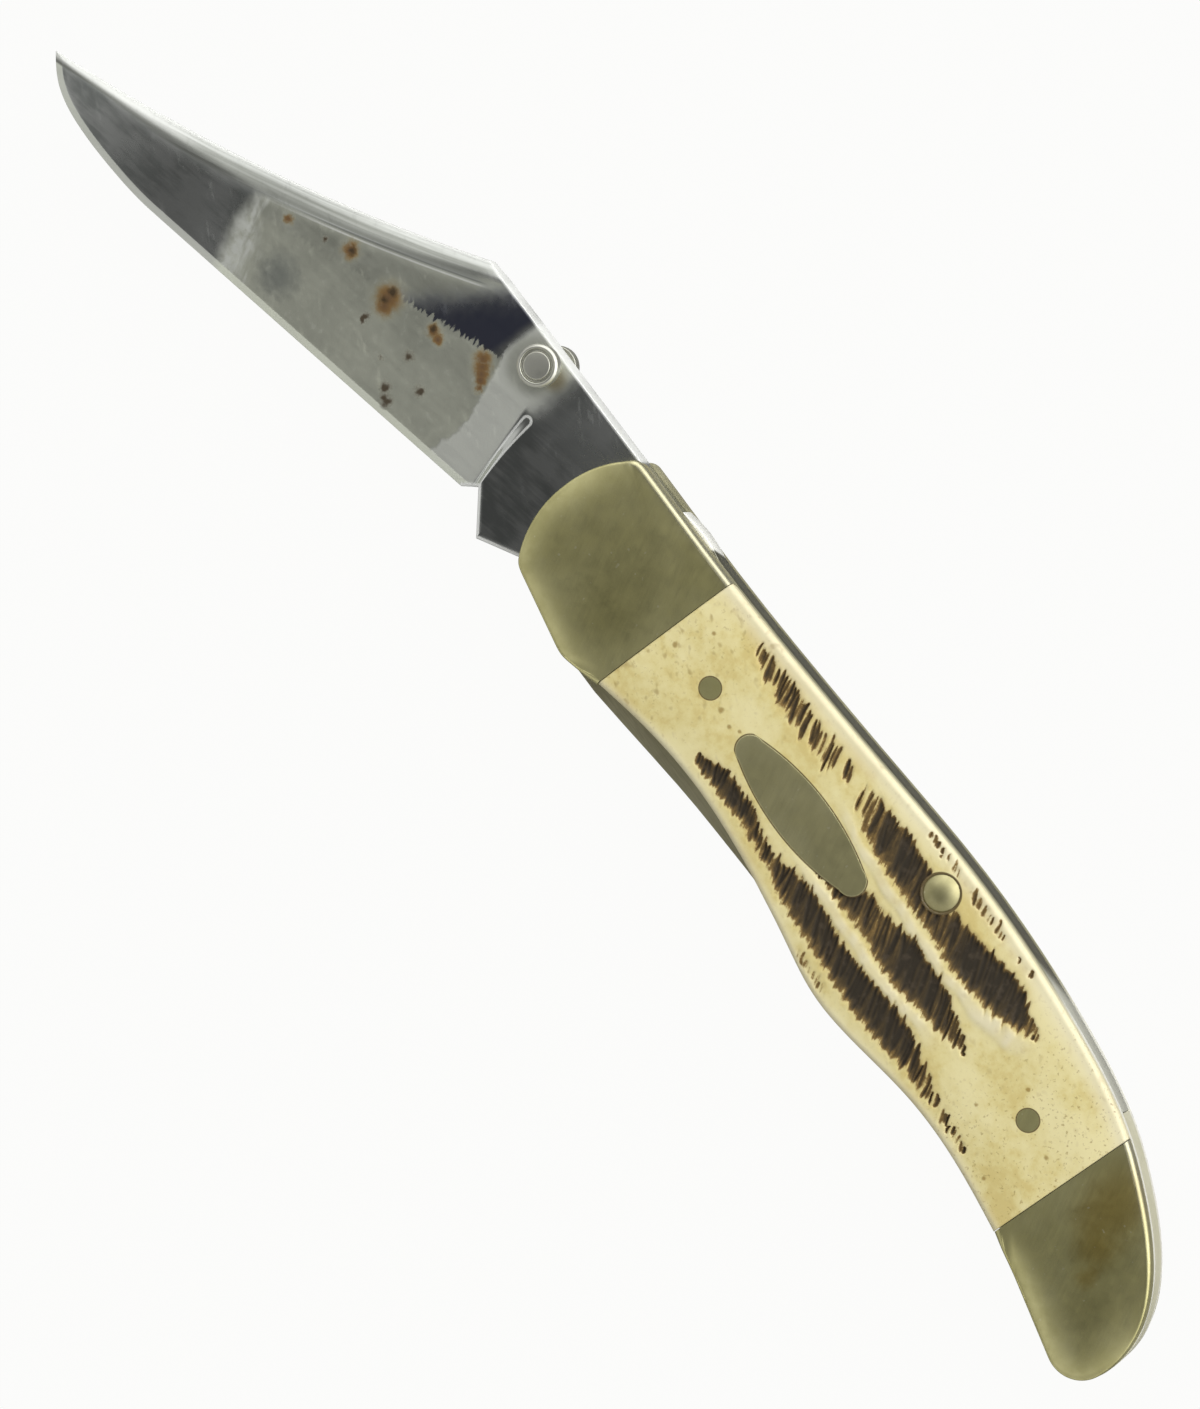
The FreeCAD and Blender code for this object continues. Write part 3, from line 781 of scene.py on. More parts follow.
        # Polish
        rough = 0.13 + (cloud - 0.5) * 0.1 + (scuffs - 0.5) * 0.16 + wisps * 0.1
        rough = rough + hazed * (0.36 + (fine - 0.5) * 0.12) + smeared * 0.12 + g.step(x, -56.0, -76.0) * 0.26
        rough = rough + pale * 0.4 + bevel * 0.34 + (streaks - 0.3) * 0.4 * swedge + border * 0.2
        rough = rough + g.step(y, 0.0, 6.0) * g.step(x, -18.0, -15.0) * 0.12
        rough = rough + g.step(from_tip, -10.0, -0.5) * g.step(x, -44.0, -50.0) * (1.0 - hazed) * 0.11
        rough = rough + g.step(foot, 3.6, 2.0) * (1.0 - painted_dark_reflection) * 0.2
        rough = ((rough - painted_dark_reflection * 0.06) | 0.06) + rusted * 0.4
        height = (grain * 0.1 + fine * 0.1 * hazed + rusted * 1.5) * (1.0 - border)
        matt = g.step(rusted, 0.2, 0.8) * 0.8 | border * 0.8
        g.surface(Base_Color=colour, Metallic=1.0 - matt, Roughness=rough & 0.9,
                  Normal=g.bump(height, 0.12, 0.02))
        return made


@dataclass(frozen=True)
class JiggedBone:
    """Cream bone with brown stain in the jigging, amber clouds, specks, and dirt and painted shading round
    the inlays.
    """

    name: str = "bone"
    cream: Colour = srgb(230, 216, 152)
    pale: Colour = srgb(240, 229, 174)
    amber: Colour = srgb(214, 192, 120)
    joints: Place = (8.6, 75.4)
    flecks: tuple[Spot, ...] = (
        (18.2, 2.6, 0.42), (20.0, 2.3, 0.3), (21.0, 2.9, 0.25), (10.2, 2.5, 0.35), (11.6, 6.4, 0.3),
        (64.3, 1.2, 0.25), (72.4, 4.0, 0.3), (70.6, -2.4, 0.3), (66.0, 6.4, 0.22))

    def make(self) -> bpy.types.Material:
        """Colour follows the jigging's depth and its halo, kept on the points; clouds and specks are noise.

        Returns:
            The material.
        """
        made, g = material(self.name)
        at = g.place()
        x, y, _ = g.axes(at)
        flat = g.flat(x, y)
        jig, halo, inlay, border, lip = (
            g.attribute(name) for name in ("jig", "halo", "inlay", "border", "lip"))
        cloud = g.drawn(at, 0.0, (0.09, 0.16, 0.16), 3.0)
        mottle = g.noise(at, 0.9, 4.0, 0.6)
        fine = g.noise(at, 5.0, 3.0, 0.65)
        dust = g.noise(at, 2.7, 2.0, 0.6)
        specks = g.drawn(at, 20.0, (0.9, 1.2, 1.0), 1.5)
        comb = g.drawn(at, 60.0, (0.45, 4.6, 0.5), 2.0, 0.55)

        start, end = self.joints
        front, rear = g.step(x, start + 12.0, start + 4.0), g.step(x, end - 16.0, end - 8.0)
        speckled = g.step(specks + front * 0.03, 0.60, 0.80) * (0.2 + front * 0.3)
        dusted = g.step(dust + (cloud - 0.5) * 0.1, 0.58, 0.74) * (0.1 + rear * 0.45 + front * 0.2)
        speckled = speckled | dusted | g.spots(flat, self.flecks, (mottle - 0.5) * 0.5, 1.1, 0.3) * 0.7
        uneven = (comb - 0.5) * 0.7 + (mottle - 0.5) * 0.8 + (fine - 0.5) * 0.3
        depth = jig + uneven * g.step(jig, 0.0, 0.3) * g.step(jig, 0.95, 0.4)
        stain = g.ramp(depth, [
            (0.1, srgb(172, 144, 84)), (0.28, srgb(124, 98, 50)), (0.48, srgb(88, 70, 36)),
            (0.7, srgb(62, 50, 27)), (0.95, srgb(46, 38, 23))])
        smoke = g.step(mottle, 0.5, 0.68) * g.step(jig, 0.55, 0.75) * 0.45
        # a dark ring round the inlays: painted shading of the gap, and dirt
        gap_shade_and_grime = g.step(inlay, 0.13, 0.05)
        seam = g.step(x, start + 0.16, start) | g.step(x, end - 0.16, end)
        colour = g.coats(
            self.cream,
            (self.pale, g.step(cloud + (mottle - 0.5) * 0.4, 0.40, 0.64)),
            (self.amber, g.step(cloud + (mottle - 0.5) * 0.6, 0.48, 0.30) * 0.55),
            # painted highlight along the back rim and painted light along the belly rim, less yellow at the
            # very edge
            (srgb(246, 239, 208), border * 0.6),
            (srgb(214, 207, 178), g.step(border, 0.6, 1.0) * 0.2),
            (srgb(200, 172, 96), halo * 0.6),
            # painted highlight along the raised, rubbed lips
            (srgb(238, 229, 194), lip * 0.9),
            (srgb(146, 114, 48), speckled),
            (g.mix(stain, srgb(84, 72, 56), smoke), g.step(depth, 0.06, 0.26)),
            (srgb(84, 68, 40), gap_shade_and_grime * 0.9 | seam * 0.7))
        g.surface(Base_Color=colour, Metallic=0.0,
                  Roughness=0.34 + (mottle - 0.5) * 0.14 + g.step(depth, 0.05, 0.3) * 0.45,
                  Normal=g.bump(fine * 0.3 + mottle * 0.3 - speckled * 0.1, 0.25, 0.03))
        return made


# Sub-assemblies


@dataclass(frozen=True)
class Layers:
    """Heights of the knife's layers above its middle plane, and stations along it, read from the frame."""

    middle: float
    blade: float
    liner: float
    cover: float
    front_joint: float
    rear_joint: float
    butt_end: float

    @classmethod
    def from_frame(cls) -> "Layers":
        """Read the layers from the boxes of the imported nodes."""
        blade_low, blade_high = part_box("blade")
        scale_low, scale_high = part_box("left_scale")
        middle = (blade_low.z + blade_high.z) / 2
        heights = (middle, blade_high.z - middle, scale_low.z - middle, scale_high.z - middle)
        stations = (scale_low.x, scale_high.x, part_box("left_rear_bolster")[1].x)
        return cls(*(value / MM for value in heights + stations))


@dataclass
class Group:
    """A sub-assembly of the knife, with the pieces that it has made or dressed so far."""

    layers: Layers
    pieces: list[bpy.types.Object] = field(default_factory=list, init=False)

    def add(self, piece: bpy.types.Object, finish: bpy.types.Material, slot: str, body: str,
            *nodes: str) -> None:
        """Give a piece its finish, its body and the nodes that it stands for.

        Args:
            piece: the piece.
            finish: its material.
            slot: not used.
            body: body of the frame that it rides on.
            nodes: nodes of the frame that it replaces.
        """
        piece.data.materials.append(finish)
        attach(piece, body)
        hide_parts(*nodes)
        self.pieces.append(piece)


@dataclass(frozen=True)
class HandleOutline:
    """The handle seen from the left: its back and belly, as places from the joints of the scales."""

    layers: Layers
    nose_back: Place = (-7.0, 9.5)
    back_from_front: tuple[Place, ...] = ((0.0, 10.1), (11.4, 10.95), (23.4, 12.1), (36.4, 13.3))
    back_from_rear: tuple[Place, ...] = ((-13.4, 13.15), (-5.4, 12.3), (0.0, 11.1))
    back_from_butt: tuple[Place, ...] = ((-12.75, 9.4), (-8.75, 7.5), (-4.75, 4.85), (-1.75, 1.55))
    butt_radius: float = 3.6
    butt_centre_y: float = -4.25
    belly_from_rear: tuple[Place, ...] = ((0.0, -4.95), (-8.4, -4.2), (-15.4, -4.5))
    belly_from_front: tuple[Place, ...] = (
        (36.9, -6.6), (31.4, -5.95), (27.4, -5.5), (21.4, -4.95), (15.4, -4.7), (9.4, -5.1), (3.4, -6.15),
        (0.0, -6.95))
    bolster_low: Place = (-4.6, -8.4)
    nose_low: Place = (-6.2, -6.75)
    nose_via: Place = (-9.75, 2.3)
    nose_round: float = 1.5
    butt_round: float = 0.5
    butt_steps: int = 60

    def _from(self, station: float, places: Sequence[Place]) -> list[Place]:
        """Places measured from a station."""
        return [(station + x, y) for x, y in places]

    def back(self) -> np.ndarray:
        """The back from the nose to the butt: one smooth curve that ends square to the knife."""
        front = self._from(self.layers.front_joint, self.back_from_front)
        places = [self.nose_back, *front, *self._from(self.layers.rear_joint, self.back_from_rear),
                  *self._from(self.layers.butt_end, self.back_from_butt),
                  (self.layers.butt_end, self.butt_centre_y)]
        first = (front[0][0] - self.nose_back[0], front[0][1] - self.nose_back[1])
        return spline(places, start=first, end=(0.0, -1.0))

    def back_at(self, x: np.ndarray) -> np.ndarray:
        """Height of the back at x."""
        return read(self.back(), x)

    def belly(self) -> np.ndarray:
        """The covers' belly between the joints, from the front joint to the rear one."""
        rear = self._from(self.layers.rear_joint, self.belly_from_rear)
        return spline(rear + self._from(self.layers.front_joint, self.belly_from_front))[::-1]

    def front_bolster(self) -> np.ndarray:
        """From the joint's back corner round the nose to the joint's belly corner."""
        back = self.back()
        joint = self.layers.front_joint
        low = (joint + self.bolster_low[0], self.bolster_low[1])
        corner = (joint, self.belly_from_front[-1][1])
        path = joined(back[back[:, 0] <= joint][::-1], arc(self.nose_back, self.nose_via, self.nose_low),
                      line(self.nose_low, low), line(low, corner))
        return softened(path, self.nose_round)

    def rear_bolster(self) -> np.ndarray:
        """From the joint's back corner round the butt to the joint's belly corner.

        The butt is an arc from straight down to the place where a straight belly line touches it.
        """
        back = self.back()
        centre = np.array([self.layers.butt_end - self.butt_radius, self.butt_centre_y])
        corner = np.array([self.layers.rear_joint, self.belly_from_rear[0][1]])
        reach = centre - corner
        fall = math.atan2(reach[1], reach[0]) - math.asin(self.butt_radius / np.linalg.norm(reach))
        angles = np.linspace(0.0, fall - math.pi / 2, self.butt_steps)
        butt = centre + self.butt_radius * np.stack([np.cos(angles), np.sin(angles)], axis=-1)
        path = joined(back[back[:, 0] >= corner[0]], butt, line(tuple(butt[-1]), tuple(corner)))
        return softened(path, self.butt_round)


@dataclass(frozen=True)
class Cover:
    """The rounded section that bolsters and scales share: a leaning wall, a rim round and a low crown."""

    layers: Layers
    outline: HandleOutline
    left_rim: float = 0.8
    right_rim: float = 3.0
    crown: float = 0.32
    crown_reach: float = 5.5
    back_fall: float = 0.07
    back_reach: float = 2.0
    back_flare: float = 0.75
    back_lean: float = 1.15
    fall_start: float = -1.5

    def rim(self, side: Side) -> float:
        """Radius of the rim round on a side."""
        return self.left_rim if side is Side.LEFT else self.right_rim

    def flare(self, side: Side) -> float:
        """How far a cover's back leans out over its height: the right cover's leans in."""
        return self.back_flare if side is Side.LEFT else -self.back_lean

    def top(self, x: np.ndarray, y: np.ndarray, inside: np.ndarray) -> np.ndarray:
        """Height of the outer face: it falls by the crown to the rim, and once more towards the back.

        Args:
            x: the places' x.
            y: the places' y.
            inside: their distances inside the outline.

        Returns:
            Heights above the middle plane.
        """
        crown = self.crown * (1.0 - ease(inside, self.fall_start, self.crown_reach))
        below = self.outline.back_at(x) - y
        fall = self.back_fall * (1.0 - ease(below, self.fall_start, self.back_reach))
        return self.layers.cover - crown - fall

    def section(self, x: np.ndarray, y: np.ndarray, side: Side) -> np.ndarray:
        """Height of a cover near its back, where the face turns into the rim round.

        Args:
            x: the places' x.
            y: the places' y.
            side: side of the knife.

        Returns:
            Heights above the middle plane, towards that side.
        """
        rim = self.rim(side)
        inside = self.outline.back_at(x) + self.flare(side) - y
        short = rim - np.clip(inside, 0.0, rim)
        return self.top(x, y, np.maximum(inside, rim)) - rim + np.sqrt(rim ** 2 - short ** 2)

    def lift(self, height: np.ndarray) -> np.ndarray:
        """Share of the cover's thickness at a height, from 0 at the liner to 1 at the outer face."""
        return (height - self.layers.liner) / (self.layers.cover - self.layers.liner)


@dataclass
class Bolsters(Group):
    """The four metal ends of the handle."""

    outline: HandleOutline
    cover: Cover
    soft_rim: float = 0.3
    nose_dome: Place = (0.66, 3.8)
    butt_dome: Place = (0.95, 4.6)
    # reach and width of the painted highlight along the back rims
    nose_highlight_reach: float = 60.0
    butt_highlight_reach: float = 15.0
    highlight_width: float = 1.7
    highlight_inside: float = 0.6
    draft: float = 0.28
    draft_facing: Place = (-0.97, -0.6)
    end_blend: float = 2.5
    dome_blend: float = 5.0
    dome_facing: Place = (-1.0, -0.1)
    probe: float = 0.1
    rim_steps: int = 10
    face_steps: int = 40
    face_crowding: float = 1.25
    seam: float = 0.03
    stains: tuple[Spot, ...] = (
        (79.4, 8.4, 5.0), (80.4, 5.2, 4.6), (82.4, 3.0, 3.4), (84.0, 0.4, 2.0))
    # painted shading: spots that darken the middles of the bolster faces
    painted_shades: tuple[Spot, ...] = ((0.8, 2.4, 8.5), (4.0, -1.5, 5.0), (83.0, 3.0, 6.5), (87.0, -1.0, 4.0))

    def _rings(self, path: np.ndarray, joint: float, inner_side: int, dome: Place, wear_and_highlight: float,
               side: Side) -> tuple[np.ndarray, np.ndarray]:
        """The section of a bolster carried along its outline.

        At each point o of the outline, with inward direction n, the section runs from the joint line
        along the inner face to o, up the wall, round the rim (o + n r (1 - sin a), height h - r (1 - cos a))
        and then straight to its own place on the joint line, under the crown. Towards the joint the inward
        direction turns parallel to the joint line, so that the two meet flush. The dome lowers a place at
        distance d from the outline by dome (1 - d / reach)^2, and the rim's angle a stops at the slope that
        the face has there. Away from the back the wall draws in over its height.

        Args:
            path: outline from one joint corner to the other.
            joint: x of the joint.
            inner_side: 1 where the inside is to the left of the path, -1 to the right.
            dome: fall of the dome at the outline, and its reach.
            wear_and_highlight: distance from the joint at which the back's rim is no longer rubbed and
                painted with a highlight.
            side: side of the knife.

        Returns:
            A stack of rings, one per point of the outline, and how far each point is rubbed and painted with
            a highlight.
        """
        run = lengths(path)
        squared = np.zeros_like(path)
        squared[:, 1] = np.where(run < run[-1] / 2, -1.0, 1.0)
        from_joint = np.minimum(run, run[-1] - run)[:, None]
        free = ease(from_joint, 0.0, self.end_blend)
        inward = left_of(path) * inner_side * free + squared * (1.0 - free)
        inward /= np.linalg.norm(inward, axis=1, keepdims=True)
        facing = ease(inward[:, 1:], *self.draft_facing) * (side is Side.LEFT)
        rim = self.cover.rim(side)
        radius = rim + (self.soft_rim - rim) * free * facing
        extra = dome[0] * ease(from_joint, 0.0, self.dome_blend) * ease(inward[:, 1:], *self.dome_facing)
        reach = dome[1]
        high, low = path[0, 1] - rim, path[-1, 1] + rim
        joint_y = high + (low - high) * (run / run[-1])[:, None]
        joint_inside = np.minimum(path[0, 1] - joint_y, joint_y - path[-1, 1])
        near, far = (self._height(path + inward * inside, inside, extra, reach)
                     for inside in (radius, radius + self.probe))
        slope = np.arctan((far - near) / self.probe).clip(0.0)
        angle = slope + (math.pi / 2 - slope) * np.linspace(1.0, 0.0, self.rim_steps)[None, :]
        start = radius * (1.0 - np.sin(slope))
        height = self._height(path + inward * start, start, extra, reach)
        height = height - radius * (np.cos(slope) - np.cos(angle))
        flare = self.cover.flare(side) * np.maximum(-inward[:, 1:], 0.0) - self.draft * facing
        depth = radius * (1.0 - np.sin(angle)) - flare * self.cover.lift(height)
        flat = path[:, None] + inward[:, None] * depth[..., None]
        corner = np.concatenate([flat, height[..., None]], axis=-1)
        base = np.full((len(path), 1, 1), self.layers.liner)
        foot = np.concatenate([path[:, None], base], axis=-1)
        goal = np.stack([np.full_like(joint_y, joint), joint_y], axis=-1)
        root = np.concatenate([goal, base], axis=-1)
        part = (np.linspace(0.0, 1.0, self.face_steps + 1)[1:] ** self.face_crowding)[None, :]
        flat = corner[:, -1:, :2] + (goal - corner[:, -1:, :2]) * part[..., None]
        height = self.cover.top(flat[..., 0], flat[..., 1], start + (joint_inside - start) * part)
        within = distance_to(flat[..., 0], flat[..., 1], (path - inward * flare)[::3])
        height = height - extra * (1.0 - within / reach).clip(0.0) ** 2 * (1.0 - part)
        face = np.concatenate([flat, height[..., None]], axis=-1)
        rings = np.concatenate([root, foot, corner, face], axis=1)
        limit = joint - math.copysign(self.seam, joint - path[:, 0].mean())
        keep = np.minimum if path[:, 0].mean() < joint else np.maximum
        rings[..., 0] = keep(rings[..., 0], limit)
        rings[..., 2] = self.layers.middle + side.value * rings[..., 2]
        # worn: a painted highlight on the rubbed back rims, left side only, fading away from the joints
        worn = np.concatenate([
            np.zeros((len(path), 2)),
            np.broadcast_to(np.linspace(1.0, self.highlight_inside, self.rim_steps), corner.shape[:2]),
            self.highlight_inside * (1.0 - within / self.highlight_width).clip(0.0) ** 2], axis=1)
        worn = worn * (1.0 - np.abs(path[:, :1] - joint) / wear_and_highlight).clip(0.0)
        return rings, worn * np.maximum(-inward[:, 1:], 0.0) ** 2 * (side is Side.LEFT)

    def _height(self, flat: np.ndarray, inside: np.ndarray, extra: np.ndarray, reach: float) -> np.ndarray:
        """Height of the domed face at places near the outline.

        Args:
            flat: the places.
            inside: their distances inside the outline.
            extra: fall of the dome at the outline.
            reach: reach of the dome.

        Returns:
            Heights above the middle plane.
        """
        dome = extra * (1.0 - inside / reach).clip(0.0) ** 2
        return self.cover.top(flat[:, :1], flat[:, 1:], inside) - dome

    def build(self) -> None:
        """Make and dress the four bolsters."""
        finish = NickelSilver(stains=self.stains, painted_shades=self.painted_shades).make()
        front, rear = self.outline.front_bolster(), self.outline.rear_bolster()
        ends = (("front", front, self.layers.front_joint, 1, self.nose_dome, self.nose_highlight_reach),
                ("rear", rear, self.layers.rear_joint, -1, self.butt_dome, self.butt_highlight_reach))
        for side in Side:
            for end, path, joint, inner_side, dome, wear_and_highlight in ends:
                node = f"{side.name.lower()}_{end}_bolster"
                rings, worn = self._rings(path, joint, inner_side, dome, wear_and_highlight, side)
                piece = shell(f"{node}_skin", [rings], {"worn": worn}, sharp=50.0)
                self.add(piece, finish, "nickel_silver", "handle", node)


@dataclass(frozen=True)
class JigRow:
    """One row of jigging: the borders that its strokes run between, and how far they merge along it.

    The wear_and_highlight table is how strongly the lip under the row shows, raised and painted pale as a
    highlight, and a gap is a run of x without strokes.
    """

    top: tuple[Place, ...]
    bottom: tuple[Place, ...]
    merge: tuple[Place, ...]
    wear_and_highlight: tuple[Place, ...] = ((0.0, 0.0),)
    gaps: tuple[Place, ...] = ()
    pitch: float = 0.42
    strength: float = 1.0


@dataclass
class Scales(Group):
    """The two jigged bone scales."""

    outline: HandleOutline
    cover: Cover
    shield: "Shield"
    fasteners: "Fasteners"
    columns: int = 600
    rows: int = 136
    seam: float = 0.03
    groove: float = 0.42
    lip: float = 0.1
    lean: float = -58.0
    inlay_recess: float = 0.3
    rim_steps: int = 10
    wall_clear: Place = (0.6, 1.4)
    halo_sigma: float = 5.0
    halo_reach: int = 12
    halo_strength: float = 1.4
    # widths of the painted highlight on the back rim and of the painted light on the belly rim
    back_rim_highlight: Place = (0.5, 2.6)
    belly_rim_light: Place = (0.2, 1.4)
    belly_rim_light_share: float = 0.8
    stroke_scatter: Place = (-0.4, 0.4)
    stroke_start: Place = (-0.05, 0.15)
    stroke_end: Place = (0.7, 1.08)
    least_stroke: float = 0.5
    stroke_reach: Place = (0.6, 1.0)
    stroke_width: Place = (0.09, 0.18)
    stroke_depth: Place = (0.28, 0.78)
    stroke_bend: Place = (0.0, 0.09)
    stroke_lift: Place = (-0.08, 0.22)
    lean_spread: float = 5.0
    trough_depth: float = 0.72
    trough_top: Place = (-0.1, 1.1)
    trough_bottom: Place = (-0.1, 1.4)
    belly_lift: tuple[Place, ...] = (
        (8.6, 0.4), (25.0, 0.55), (33.0, 0.6), (40.0, 0.4), (48.0, 0.25), (75.4, 0.15))
    back_row: JigRow = JigRow(
        top=((15.2, 9.8), (17.0, 10.2), (20.0, 10.4), (24.0, 10.2), (28.0, 10.3), (33.0, 10.5), (34.5, 11.0),
             (38.0, 11.3), (43.0, 11.1), (48.0, 10.6), (50.0, 10.9), (53.0, 11.3), (56.0, 11.9), (58.2, 11.9),
             (59.5, 11.2), (61.0, 10.7), (62.6, 10.2)),
        bottom=((15.2, 8.8), (17.5, 7.4), (22.0, 7.0), (28.0, 6.9), (30.0, 7.8), (33.0, 7.6), (36.0, 6.8),
                (43.0, 6.6), (52.0, 6.4), (54.0, 6.7), (56.5, 7.1), (58.0, 7.5), (60.0, 8.2), (62.6, 9.2)),
        merge=((15.0, 0.0), (19.0, 0.12), (21.5, 0.3), (24.0, 0.1), (28.0, 0.0), (33.5, 0.05), (36.0, 0.3),
               (38.5, 0.75), (41.5, 0.9), (43.5, 0.6), (47.0, 0.45), (50.0, 0.6), (51.5, 0.95), (59.0, 1.0),
               (60.5, 0.6), (62.0, 0.1)),
        wear_and_highlight=((32.0, 0.0), (35.0, 0.7), (46.0, 0.85), (52.0, 0.8), (56.0, 0.95), (61.0, 1.0), (62.6, 0.3),
              (63.5, 0.0)),
        gaps=((28.3, 29.0), (31.2, 32.0)))
    middle_row: JigRow = JigRow(
        top=((36.0, 1.9), (39.0, 2.6), (41.0, 4.6), (42.0, 4.9), (44.0, 4.9), (46.0, 5.3), (48.0, 5.7),
             (52.0, 5.6), (54.0, 5.4), (56.0, 4.9), (58.0, 4.3), (59.9, 3.5)),
        bottom=((36.0, 0.9), (46.0, 0.8), (48.5, 0.7), (50.0, 0.8), (53.0, 1.3), (56.0, 1.7), (58.0, 2.1),
                (59.9, 2.7)),
        merge=((36.0, 0.5), (41.0, 0.8), (43.0, 0.5), (45.0, 0.4), (46.5, 0.7), (48.5, 0.95), (53.0, 0.95),
               (55.0, 0.6), (57.0, 0.25), (59.5, 0.05)),
        wear_and_highlight=((33.0, 0.0), (38.0, 0.8), (46.0, 0.9), (54.0, 0.8), (57.0, 0.3), (58.0, 0.0)))
    belly_row: JigRow = JigRow(
        top=((20.4, -1.5), (22.3, -0.6), (23.5, -0.2), (28.0, -0.2), (30.0, -0.9), (32.0, -1.2), (34.0, -0.8),
             (36.0, -0.1), (38.0, 0.0), (42.0, -0.2), (44.0, -0.6), (48.0, -0.2), (51.0, 0.2), (54.5, 0.2),
             (57.0, -0.4), (60.0, -1.1), (63.0, -1.5), (67.3, -1.9)),
        bottom=((20.4, -3.0), (24.0, -3.0), (28.0, -2.8), (31.0, -3.1), (34.0, -3.3), (36.0, -3.8),
                (40.0, -4.1), (50.0, -4.2), (54.0, -3.9), (57.0, -3.3), (60.0, -3.4), (64.0, -3.2),
                (67.3, -3.1)),
        merge=((20.4, 0.3), (22.5, 0.9), (26.0, 0.95), (28.5, 0.7), (30.0, 0.35), (32.0, 0.35), (34.0, 0.45),
               (36.0, 0.7), (39.0, 0.85), (44.0, 0.8), (47.0, 0.95), (54.0, 0.98), (57.0, 0.6), (59.0, 0.3),
               (61.5, 0.15), (63.0, 0.0)),
        gaps=((62.0, 62.7), (63.7, 64.1), (65.2, 65.7)))
    low_patch: JigRow = JigRow(top=((42.0, -4.4), (46.4, -4.4)), bottom=((42.0, -5.8), (46.4, -5.9)),
                               merge=((42.0, 0.15),), pitch=0.5, strength=0.5)
    edge_ticks: JigRow = JigRow(
        top=((40.0, 13.2), (46.9, 13.3), (47.0, 13.6), (52.5, 13.5), (52.6, 13.4), (57.5, 13.3)),
        bottom=((40.0, 12.2), (46.9, 12.3), (47.0, 12.0), (52.5, 12.2), (57.5, 12.6)),
        merge=((43.0, 0.0), (43.6, 0.3), (44.6, 0.0), (47.0, 0.35), (49.5, 0.3), (50.0, 0.0)),
        gaps=((44.6, 47.0), (52.5, 54.6), (55.3, 56.4)), pitch=0.5, strength=0.7)

    def _jig(self, row: JigRow, x: np.ndarray, y: np.ndarray, rng: np.random.Generator) -> np.ndarray:
        """Depth of one row of jigging, from 0 to 1.

        A stroke is a groove with a bell-shaped section about a leaning line; it starts sharply at the
        upper border, swells and thins out at the lower one, and the deepest stroke counts. Where strokes
        merge, a shallower trough between the borders is added.

        Args:
            row: the row.
            x: the points' x.
            y: the points' y.
            rng: source of the strokes' differences.

        Returns:
            Depths, of the points' shape.
        """
        first, last = row.top[0][0], row.top[-1][0]
        starts = np.arange(first, last, row.pitch)
        count = len(starts)
        starts = starts + rng.uniform(*self.stroke_scatter, count) * row.pitch
        lean = np.radians(self.lean + rng.normal(0.0, self.lean_spread, count))
        reach = rng.uniform(*self.stroke_reach, count)
        width = rng.uniform(*self.stroke_width, count)
        depth = rng.uniform(*self.stroke_depth, count)
        bend = rng.normal(*self.stroke_bend, count)
        lift = rng.normal(*self.stroke_lift, count)
        found = np.zeros(x.shape)
        for k, start in enumerate(starts):
            if any(low < start < high for low, high in row.gaps):
                continue
            high = read(row.top, start) + lift[k]
            fall = high - read(row.bottom, start + 0.6)
            run = np.array([math.cos(lean[k]), math.sin(lean[k])])
            length = max(self.least_stroke, reach[k] * fall / -run[1])
            near = slice(*np.searchsorted(x[:, 0], (start - 0.8, start + 1.2 + length * run[0])))
            dx, dy = x[near] - start, y[near] - high
            share = (dx * run[0] + dy * run[1]) / length
            across = dx * -run[1] + dy * run[0] - bend[k] * 4.0 * share * (1.0 - share)
            body = ease(share, *self.stroke_start) * (1.0 - ease(share, *self.stroke_end))
            wide = width[k] * (0.75 + 0.5 * np.sin(math.pi * np.clip(share, 0.0, 1.0)))
            found[near] = np.maximum(found[near], depth[k] * body * np.exp(-(across / wide) ** 2))
        sway = 0.18 * np.sin(x * 5.1 + 0.7 * np.sin(x * 1.9)) + 0.1 * np.sin(x * 9.7 + y * 2.0)
        trough = ease(read(row.top, x) + sway * 0.6 - y, *self.trough_top)
        trough = trough * ease(y - read(row.bottom, x) + sway, *self.trough_bottom)
        trough = trough * read(row.merge, x) * (x > first) * (x < last)
        return row.strength * np.clip(found + self.trough_depth * trough * (1.0 - 0.35 * found), 0.0, 1.0)

    def _lip(self, row: JigRow, x: np.ndarray, y: np.ndarray) -> np.ndarray:
        """The rubbed, raised lip along a row's lower border, also painted pale as a highlight: a bell across
        it, as strong as the row's wear_and_highlight.
        """
        wide = 0.55 + 0.5 * ease(x, 54.0, 60.0)
        low = read(row.bottom, x) - 0.8 * wide + 0.12 * np.sin(x * 1.3)
        wear_and_highlight = read(row.wear_and_highlight, x) * (0.8 + 0.2 * np.sin(x * 2.3 + 2.0 * np.sin(x * 0.7 + y)))
        return wear_and_highlight * np.exp(-((y - low) / wide) ** 4)

    def _inlay(self, x: np.ndarray, y: np.ndarray, side: Side) -> np.ndarray:
        """Signed distance to the nearest thing let into the bone, negative inside it."""
        holes = self.fasteners.holes(side)
        least = np.min([np.hypot(x - cx, y - cy) - radius for cx, cy, radius in holes], axis=0)
        if side is Side.LEFT:
            least = np.minimum(least, self.shield.signed_distance(x, y))
        return least

